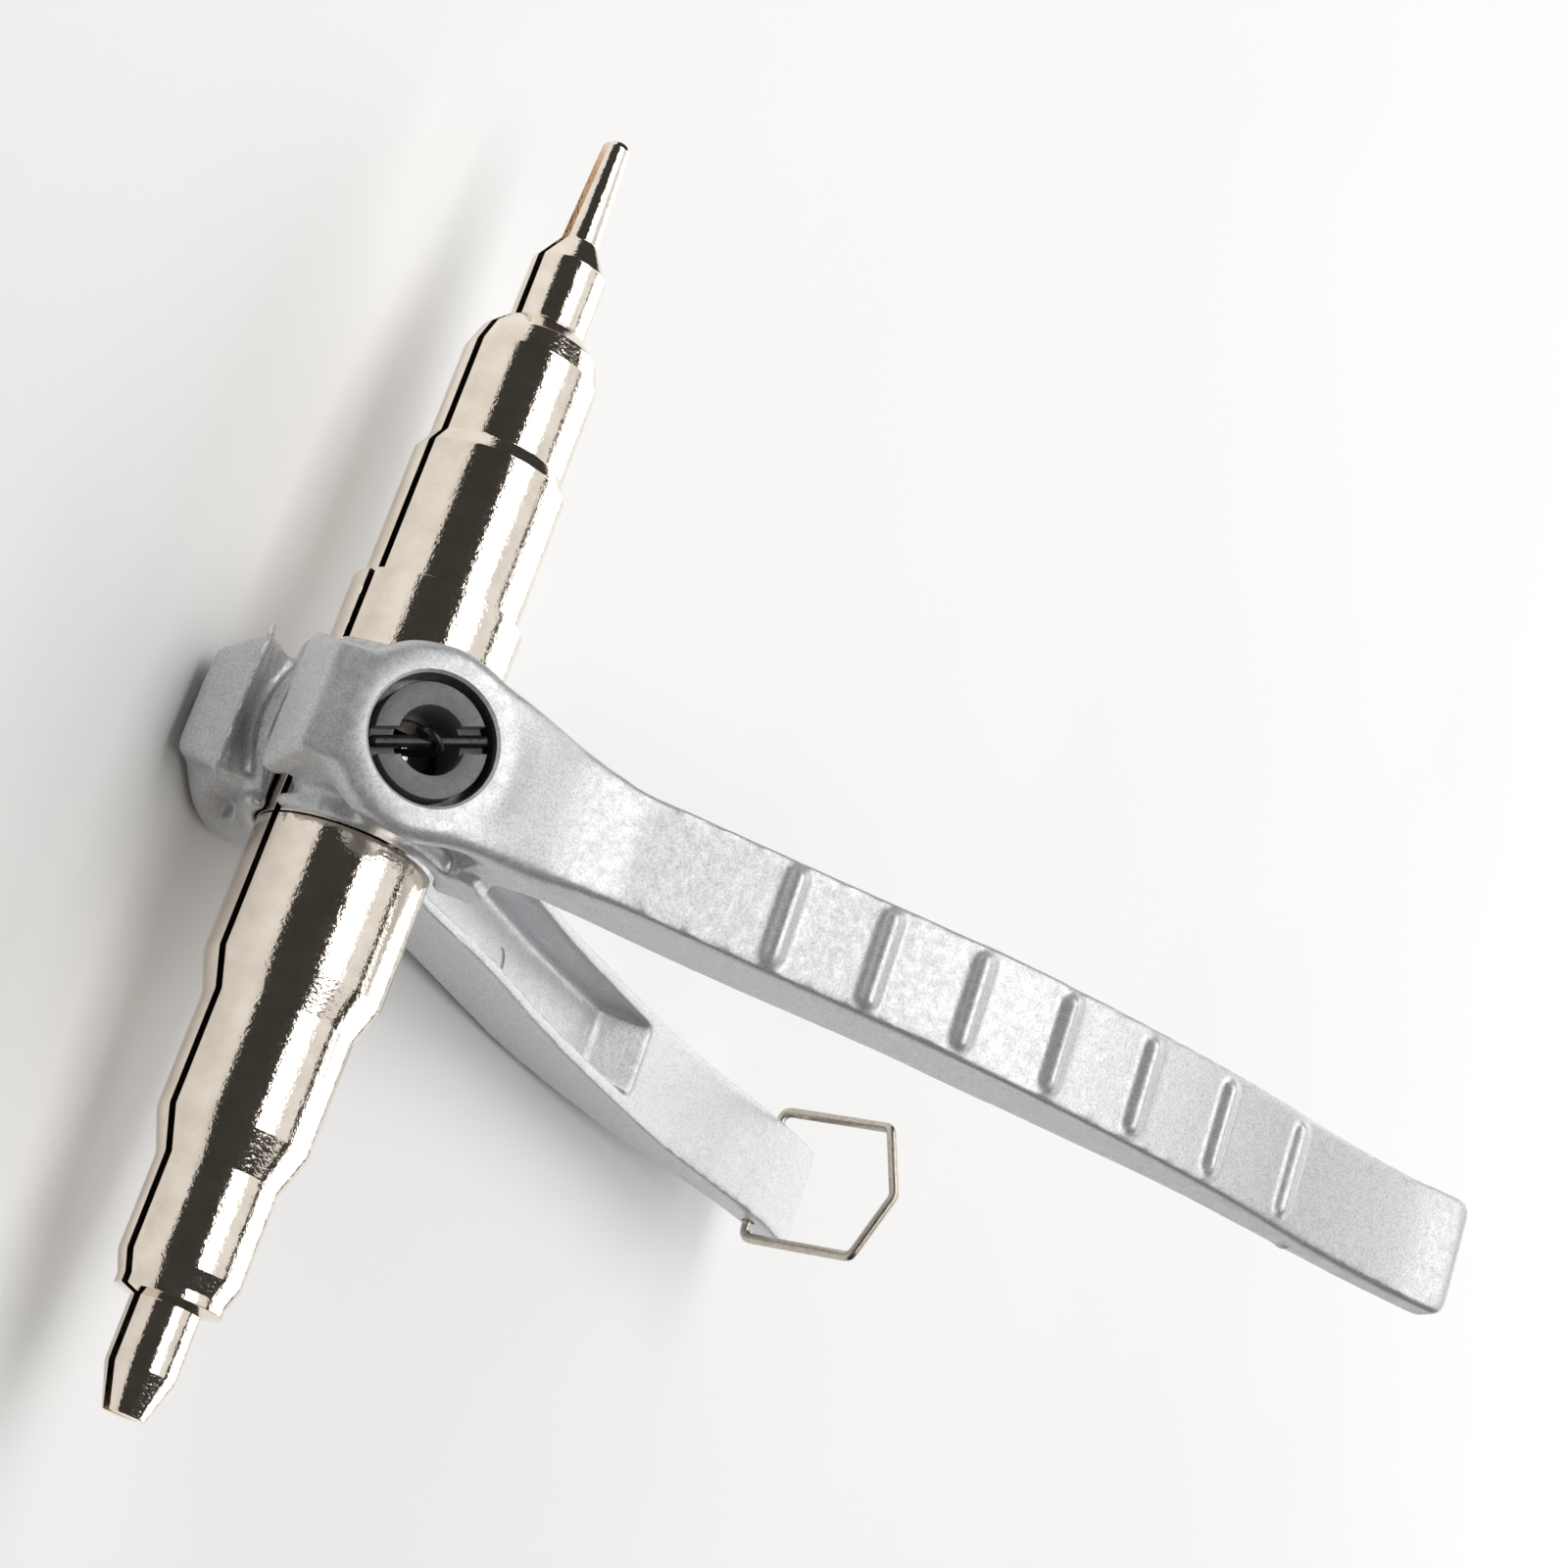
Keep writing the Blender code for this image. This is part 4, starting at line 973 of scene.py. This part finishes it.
@dataclass
class MandrelHalf:
    """One half of the split mandrel: the core between the levers and a turned swage at each end."""

    side: Side
    core_r: float = 10.3 * MM
    core_low: float = -10.2 * MM
    core_top: float = 20.4 * MM
    seam: float = 0.2 * MM
    lower: tuple = ((10.3, -26.5), (8.75, -30.9), (8.75, -44.4), (7.0, -49.2), (7.0, -60.2), (6.1, -62.6),
                    (6.1, -63.7), (4.0, -64.3), (4.0, -71.6), (2.4, -76.5), (0.0, -76.5))
    upper: tuple = ((9.3, 37.9), (8.25, 39.8), (8.25, 52.2), (7.3, 55.2), (5.5, 57.2), (4.65, 57.8),
                    (4.65, 66.2), (2.4, 70.0), (1.75, 83.7), (1.4, 84.4), (0.875, 84.7), (0.0, 84.7))
    segments: int = 192
    edge: float = 0.12 * MM
    knuckle_room: float = 4.4 * MM
    knuckle_spans: tuple = ((3.7 * MM, 10.2 * MM), (-11.5 * MM, -3.7 * MM))
    pin_room: float = 2.5 * MM
    pin_span: float = 5 * MM
    groove_half: float = 4.9 * MM
    groove_floor: float = 9.3 * MM
    groove_rim: float = 12.3 * MM
    groove_half_turn: float = math.asin(4.9 / 9.6)
    spring_reach: float = 2.35 * MM
    spring_x: float = -6.024 * MM

    def half(self, bm: BMesh) -> BMesh:
        """Keep one side of a turned shape, close its flat and break the flat's edges."""
        sign = self.side.value
        geometry = bm.verts[:] + bm.edges[:] + bm.faces[:]
        bmesh.ops.bisect_plane(bm, geom=geometry, dist=1e-7, plane_co=(0, sign * LAYOUT.split_gap / 2, 0),
                               plane_no=(0, sign, 0), clear_inner=True)
        rim = [edge for edge in bm.edges if edge.is_boundary]
        flat = bmesh.ops.holes_fill(bm, edges=rim, sides=0)["faces"]
        bmesh.ops.recalc_face_normals(bm, faces=bm.faces)
        edges = list({edge for face in flat for edge in face.edges})
        return bevelled(bm, edges, 0.1 * MM, 2, clamp=True)

    def turned(self, profile: Sequence[Point]) -> BMesh:
        """A turned half from a profile in metres, with its corners just broken."""
        return self.half(spun(softened(profile, self.edge), self.segments))

    def finish(self, made: Object, nickel: Material, node: str) -> None:
        """Dress a half, put it on its body and hide the CAD solid it stands for."""
        dressed(made, nickel, 12 * DEG)
        filed(made, self.side.mandrel, node)

    def build(self, nickel: Material) -> None:
        """Make the core and both swages of this half."""
        prefix = self.side.prefix
        place = LAYOUT.tool()
        profile = ((0, self.core_low), (self.core_r, self.core_low), (self.core_r, self.core_top),
                   (0, self.core_top))
        core = piece(prefix + "_journal_core", self.turned(profile), place)
        carved(core, self.rooms(), place)
        self.finish(core, nickel, prefix + "_core")
        swages = (("_stepped_swage", "_lower_swage", self.lower, self.core_low - self.seam),
                  ("_thin_swage", "_upper_swage", self.upper, self.core_top + self.seam))
        for name, node, steps, root in swages:
            line = [(0, root), (steps[0][0] * MM, root)] + [(r * MM, z * MM) for r, z in steps]
            self.finish(piece(prefix + name, self.turned(line), place), nickel, prefix + node)
        LOG.info("%s mandrel half: core, stepped swage, thin swage", prefix)

    def rooms(self) -> list[BMesh]:
        """What is milled out of the core: room for the knuckles, the pin, the stud and the spring."""
        sign = self.side.value
        offset = LAYOUT.hinge_offset
        wall = offset - self.knuckle_room
        cuts = [block((wall, -REACH, low), (REACH, REACH, high)) for low, high in self.knuckle_spans]
        cuts.append(block((offset - self.pin_room, -self.pin_room, -self.pin_span),
                          (REACH, self.pin_room, self.pin_span)))
        start = 87 * DEG - self.groove_half_turn
        end = 93 * DEG + LAYOUT.head_angle + self.groove_half_turn
        groove = round_points(self.groove_floor, start, end, 40)
        groove += round_points(self.groove_rim, end, start, 40)
        cuts.append(extruded([(x, sign * y) for x, y in groove], -self.groove_half, self.groove_half))
        reach = self.spring_reach
        cuts.append(block((-REACH, -REACH, -reach), (self.spring_x + reach, REACH, reach)))
        return cuts


# ---------------------------------------------------------------- stud, pins, spring and bail


@dataclass
class SpringStud:
    """The slotted stud in a casting's boss, with the cross pin that holds the spring."""

    side: Side
    bore_r: float = 3.9 * MM
    ring_r: float = 6.5 * MM
    body_r: float = 5.2 * MM
    nose_r: float = 4.6 * MM
    nose_y: float = 9.6 * MM
    nose_end: float = 10.9 * MM
    seat: float = 14.5 * MM
    face: float = 18.1 * MM
    slot_width: float = 3.0 * MM
    slot_depth: float = 1.7 * MM
    slot_turn: float = 25 * DEG
    pin_r: float = 0.7 * MM
    pin_half: float = 6.9 * MM
    edge: float = 0.14 * MM

    @property
    def pin_y(self) -> float:
        """The cross pin's height in the casting frame."""
        return self.face - self.slot_depth + self.pin_r + 0.1 * MM

    def ring(self) -> list[Point]:
        """The stud's section, with broken edges, as a ring of points."""
        e = self.edge
        return [(self.bore_r, self.nose_y), (self.nose_r, self.nose_y), (self.nose_r, self.nose_end),
                (self.body_r, self.nose_end), (self.body_r, self.seat), (self.ring_r, self.seat),
                (self.ring_r, self.face - e), (self.ring_r - 0.3 * e, self.face - 0.3 * e),
                (self.ring_r - e, self.face), (self.bore_r + e, self.face),
                (self.bore_r + 0.3 * e, self.face - 0.3 * e), (self.bore_r, self.face - e)]

    def build(self, finishes: Finishes) -> None:
        """Make the stud and its cross pin."""
        prefix = self.side.prefix
        place = LAYOUT.casting(self.side)
        stud = piece(prefix + "_slotted_stud", turned_to_y(spun(self.ring(), 128)), place)
        slot = block((-REACH, self.face - self.slot_depth, -self.slot_width / 2),
                     (REACH, self.face + 2 * MM, self.slot_width / 2))
        turn = Matrix.Rotation(self.slot_turn, 4, "Y")
        carved(stud, [slot], place @ turn)
        self.break_slot_edges(stud, place @ turn)
        dressed(stud, finishes.phosphate, 30 * DEG)
        filed(stud, self.side.lever, prefix + "_spring_stud")
        end = self.pin_half
        nose = 0.35 * MM
        profile = ((0, -end), (self.pin_r - nose, -end), (self.pin_r, -end + nose), (self.pin_r, end - nose),
                   (self.pin_r - nose, end), (0, end))
        lie = Matrix.Translation((0, self.pin_y, 0)) @ Matrix.Rotation(90 * DEG + self.slot_turn, 4, "Y")
        pin = piece(prefix + "_spring_cross_pin", spun(softened(profile, 0.2 * MM), 32), place @ lie)
        dressed(pin, finishes.oxide)
        filed(pin, self.side.lever, prefix + "_cross_pin")
        LOG.info("%s stud and cross pin", prefix)

    def break_slot_edges(self, stud: Object, place: Matrix) -> None:
        """Bevel the long top edges of the slot."""
        back = place.inverted()
        bm = bmesh.new()
        bm.from_mesh(stud.data)
        bmesh.ops.remove_doubles(bm, verts=bm.verts, dist=1e-7)
        chosen = []
        for edge in bm.edges:
            a, b = (back @ v.co for v in edge.verts)
            level = abs(a.y - self.face) < 1e-6 and abs(b.y - self.face) < 1e-6
            along = abs(abs(a.z) - self.slot_width / 2) < 1e-6 and abs(a.z - b.z) < 1e-6
            if level and along:
                chosen.append(edge)
        bevelled(bm, chosen, self.edge, 2).to_mesh(stud.data)
        bm.free()


@dataclass
class ReturnSpring:
    """The coil that pulls the levers open, hooked over both cross pins."""

    wire_r: float = 0.45 * MM
    coil_r: float = 1.6 * MM
    turns: int = 10
    pitch: float = 1.06 * MM
    points_per_turn: int = 20
    hook_lean: float = 38 * DEG
    blend_half: float = 8.0 * MM

    def line(self, stud: SpringStud) -> list[Vector]:
        """The wire's line in the tool frame."""
        eye = (stud.pin_r + self.wire_r + 0.1 * MM) / math.cos(self.hook_lean)
        lean = stud.slot_turn + self.hook_lean
        across = Vector((math.sin(lean), 0, math.cos(lean)))
        reach = stud.pin_y * math.cos(LAYOUT.head_angle)
        half = self.turns * self.pitch / 2
        steps = self.turns * self.points_per_turn
        coil = []
        for i in range(steps + 1):
            turn = 2 * math.pi * i / self.points_per_turn
            coil.append(Vector((self.coil_r * math.cos(turn), -half + 2 * half * i / steps,
                                self.coil_r * math.sin(turn))))
        hook = []
        for i in range(25):
            turn = (-10 + 210 * i / 24) * DEG
            hook.append(across * eye * math.cos(turn) + Vector((0, reach + eye * math.sin(turn), 0)))
        lead = [Vector((1.2 * MM, half + 0.9 * MM, 0.56 * MM)),
                Vector((0.1 * MM, half + 2.2 * MM, 0.94 * MM)),
                across * eye + Vector((0, reach - 2.0 * MM, 0))]
        top = bent([coil[-1]] + lead + [hook[0]], 0.5 * MM, 5)[1:-1] + hook
        bottom = [Vector((p.x, -p.y, -p.z)) for p in top]
        shift = Vector((-stud.pin_y * math.sin(LAYOUT.head_angle), 0, 0))
        return [p + shift for p in list(reversed(bottom)) + coil + top]

    def build(self, stud: SpringStud, oxide: Material) -> None:
        """Make the spring between the two cross pins, as one fixed mesh."""
        place = LAYOUT.tool()
        points = [place @ p for p in self.line(stud)]
        made = dressed(tube("return_coil", points, self.wire_r, 3), oxide, 60 * DEG)
        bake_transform(made)
        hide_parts("return_spring")
        LOG.info("return spring")


@dataclass
class WireBail:
    """The wire loop on the back lever's end that holds the levers closed."""

    wire_r: float = 0.75 * MM
    reach: float = 19.0 * MM
    peak: float = 4.0 * MM
    angle: float = -103.5 * DEG
    side_gap: float = 1.7 * MM
    end_depth: float = 2.5 * MM
    bend_r: float = 1.65 * MM

    def build(self, casting: LeverCasting, wire: Material) -> None:
        """Bend the bail and set it in its holes."""
        half = casting.half_at(casting.bail_x) + self.side_gap + self.wire_r
        inside = casting.half_at(casting.bail_x) - self.end_depth
        corners = [Vector((0, 0, inside)), Vector((0, 0, half)), Vector((self.reach, 0, half)),
                   Vector((self.reach + self.peak, 0, 0)), Vector((self.reach, 0, -half)),
                   Vector((0, 0, -half)), Vector((0, 0, -inside))]
        spot = Matrix.Translation((*casting.bail_pivot(), 0)) @ Matrix.Rotation(self.angle, 4, "Z")
        place = LAYOUT.casting(Side.BACK) @ casting.rake @ spot
        points = [place @ p for p in bent(corners, self.bend_r, 12)]
        made = dressed(tube("wire_bail", points, self.wire_r, 6), wire, 60 * DEG)
        filed(made, "bail", "bail")
        LOG.info("bail")


def dress_kept_nodes(finishes: Finishes) -> None:
    """Give the CAD solids that stay their own finishes."""
    kept = {"hinge_pin": finishes.steel, "upper_retaining_clip": finishes.oxide,
            "lower_retaining_clip": finishes.oxide}
    for side in Side:
        for end in ("upper", "lower"):
            kept[f"{side.prefix}_{end}_dowel"] = finishes.steel
    for name, material in kept.items():
        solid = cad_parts[name]
        for slot in solid.material_slots:
            slot.material = material
        LOG.info("kept %s", name)


# ---------------------------------------------------------------- studio


@dataclass
class Studio:
    """A pale floor, three softboxes, a dim room and the camera."""

    camera_place: tuple = (-0.31515, -0.1145, 0.2294)
    look: tuple = (0.8362, 0.3292, -0.4384)
    right: tuple = (0.3437, 0.3081, 0.8870)
    lens: float = 78.7
    sensor: float = 36.0
    room: tuple = (0.045, 0.043, 0.04)
    floor_r: float = 4.0
    floor_drop: float = 0.0002
    softboxes: tuple = (("top_softbox", (-0.25, 0.25, 0.90), (1.6, 0.48), 6.9),
                        ("overhead_softbox", (0.17, 0.25, 0.98), (1.6, 0.56), 2.2),
                        ("side_softbox", (0.95, 0.25, 0.55), (1.8, 1.1), 10.0))

    def build(self) -> None:
        """Set up everything that isn't the object."""
        self.floor()
        for name, place, size, power in self.softboxes:
            self.softbox(name, place, size, power)
        world = bpy.data.worlds.new("dim_room")
        world.use_nodes = True
        world.node_tree.nodes["Background"].inputs["Color"].default_value = (*self.room, 1.0)
        bpy.context.scene.world = world
        self.camera()
        bpy.context.scene.view_settings.view_transform = "Standard"
        LOG.info("studio")

    def floor(self) -> None:
        """A wide floor at the height of the boss ring."""
        bm = bmesh.new()
        bmesh.ops.create_circle(bm, cap_ends=True, segments=96, radius=self.floor_r)
        made = piece("studio_floor", moved(bm, (0, 0, -self.floor_drop)))
        made.data.materials.append(StudioFloor().made())

    def softbox(self, name: str, place: tuple, size: Point, power: float) -> None:
        """A rectangular light that faces the origin, its long side along Y."""
        data = bpy.data.lights.new(name, "AREA")
        data.shape = "RECTANGLE"
        data.size, data.size_y = size
        data.energy = power
        lamp = bpy.data.objects.new(name, data)
        back = Vector(place).normalized()
        long_side = (Vector((0, 1, 0)) - back * back.y).normalized()
        turn = Matrix((long_side, back.cross(long_side), back)).transposed().to_4x4()
        lamp.matrix_world = Matrix.Translation(place) @ turn
        bpy.context.collection.objects.link(lamp)

    def camera(self) -> None:
        """The camera at the viewing angle."""
        data = bpy.data.cameras.new("view")
        data.sensor_width = self.sensor
        data.lens = self.lens
        data.clip_start = 0.01
        look = Vector(self.look).normalized()
        right = Vector(self.right)
        right = (right - look * right.dot(look)).normalized()
        up = right.cross(look)
        turn = Matrix((right, up, -look)).transposed().to_4x4()
        eye = bpy.data.objects.new("view", data)
        eye.matrix_world = Matrix.Translation(self.camera_place) @ turn
        bpy.context.collection.objects.link(eye)
        bpy.context.scene.camera = eye


def main() -> None:
    """Build the studio, then every sub-assembly."""
    logging.basicConfig(level=logging.INFO, format="%(name)s: %(message)s")
    Studio().build()
    finishes = Finishes()
    casting = LeverCasting()
    blank = casting.blank()
    for side in Side:
        casting.build(side, blank, finishes)
        LOG.info("%s casting", side.prefix)
    discarded(blank)
    for side in Side:
        MandrelHalf(side).build(finishes.nickel)
        SpringStud(side).build(finishes)
    ReturnSpring().build(SpringStud(Side.BACK), finishes.oxide)
    WireBail().build(casting, finishes.wire)
    dress_kept_nodes(finishes)


if __name__ == "__main__":
    main()
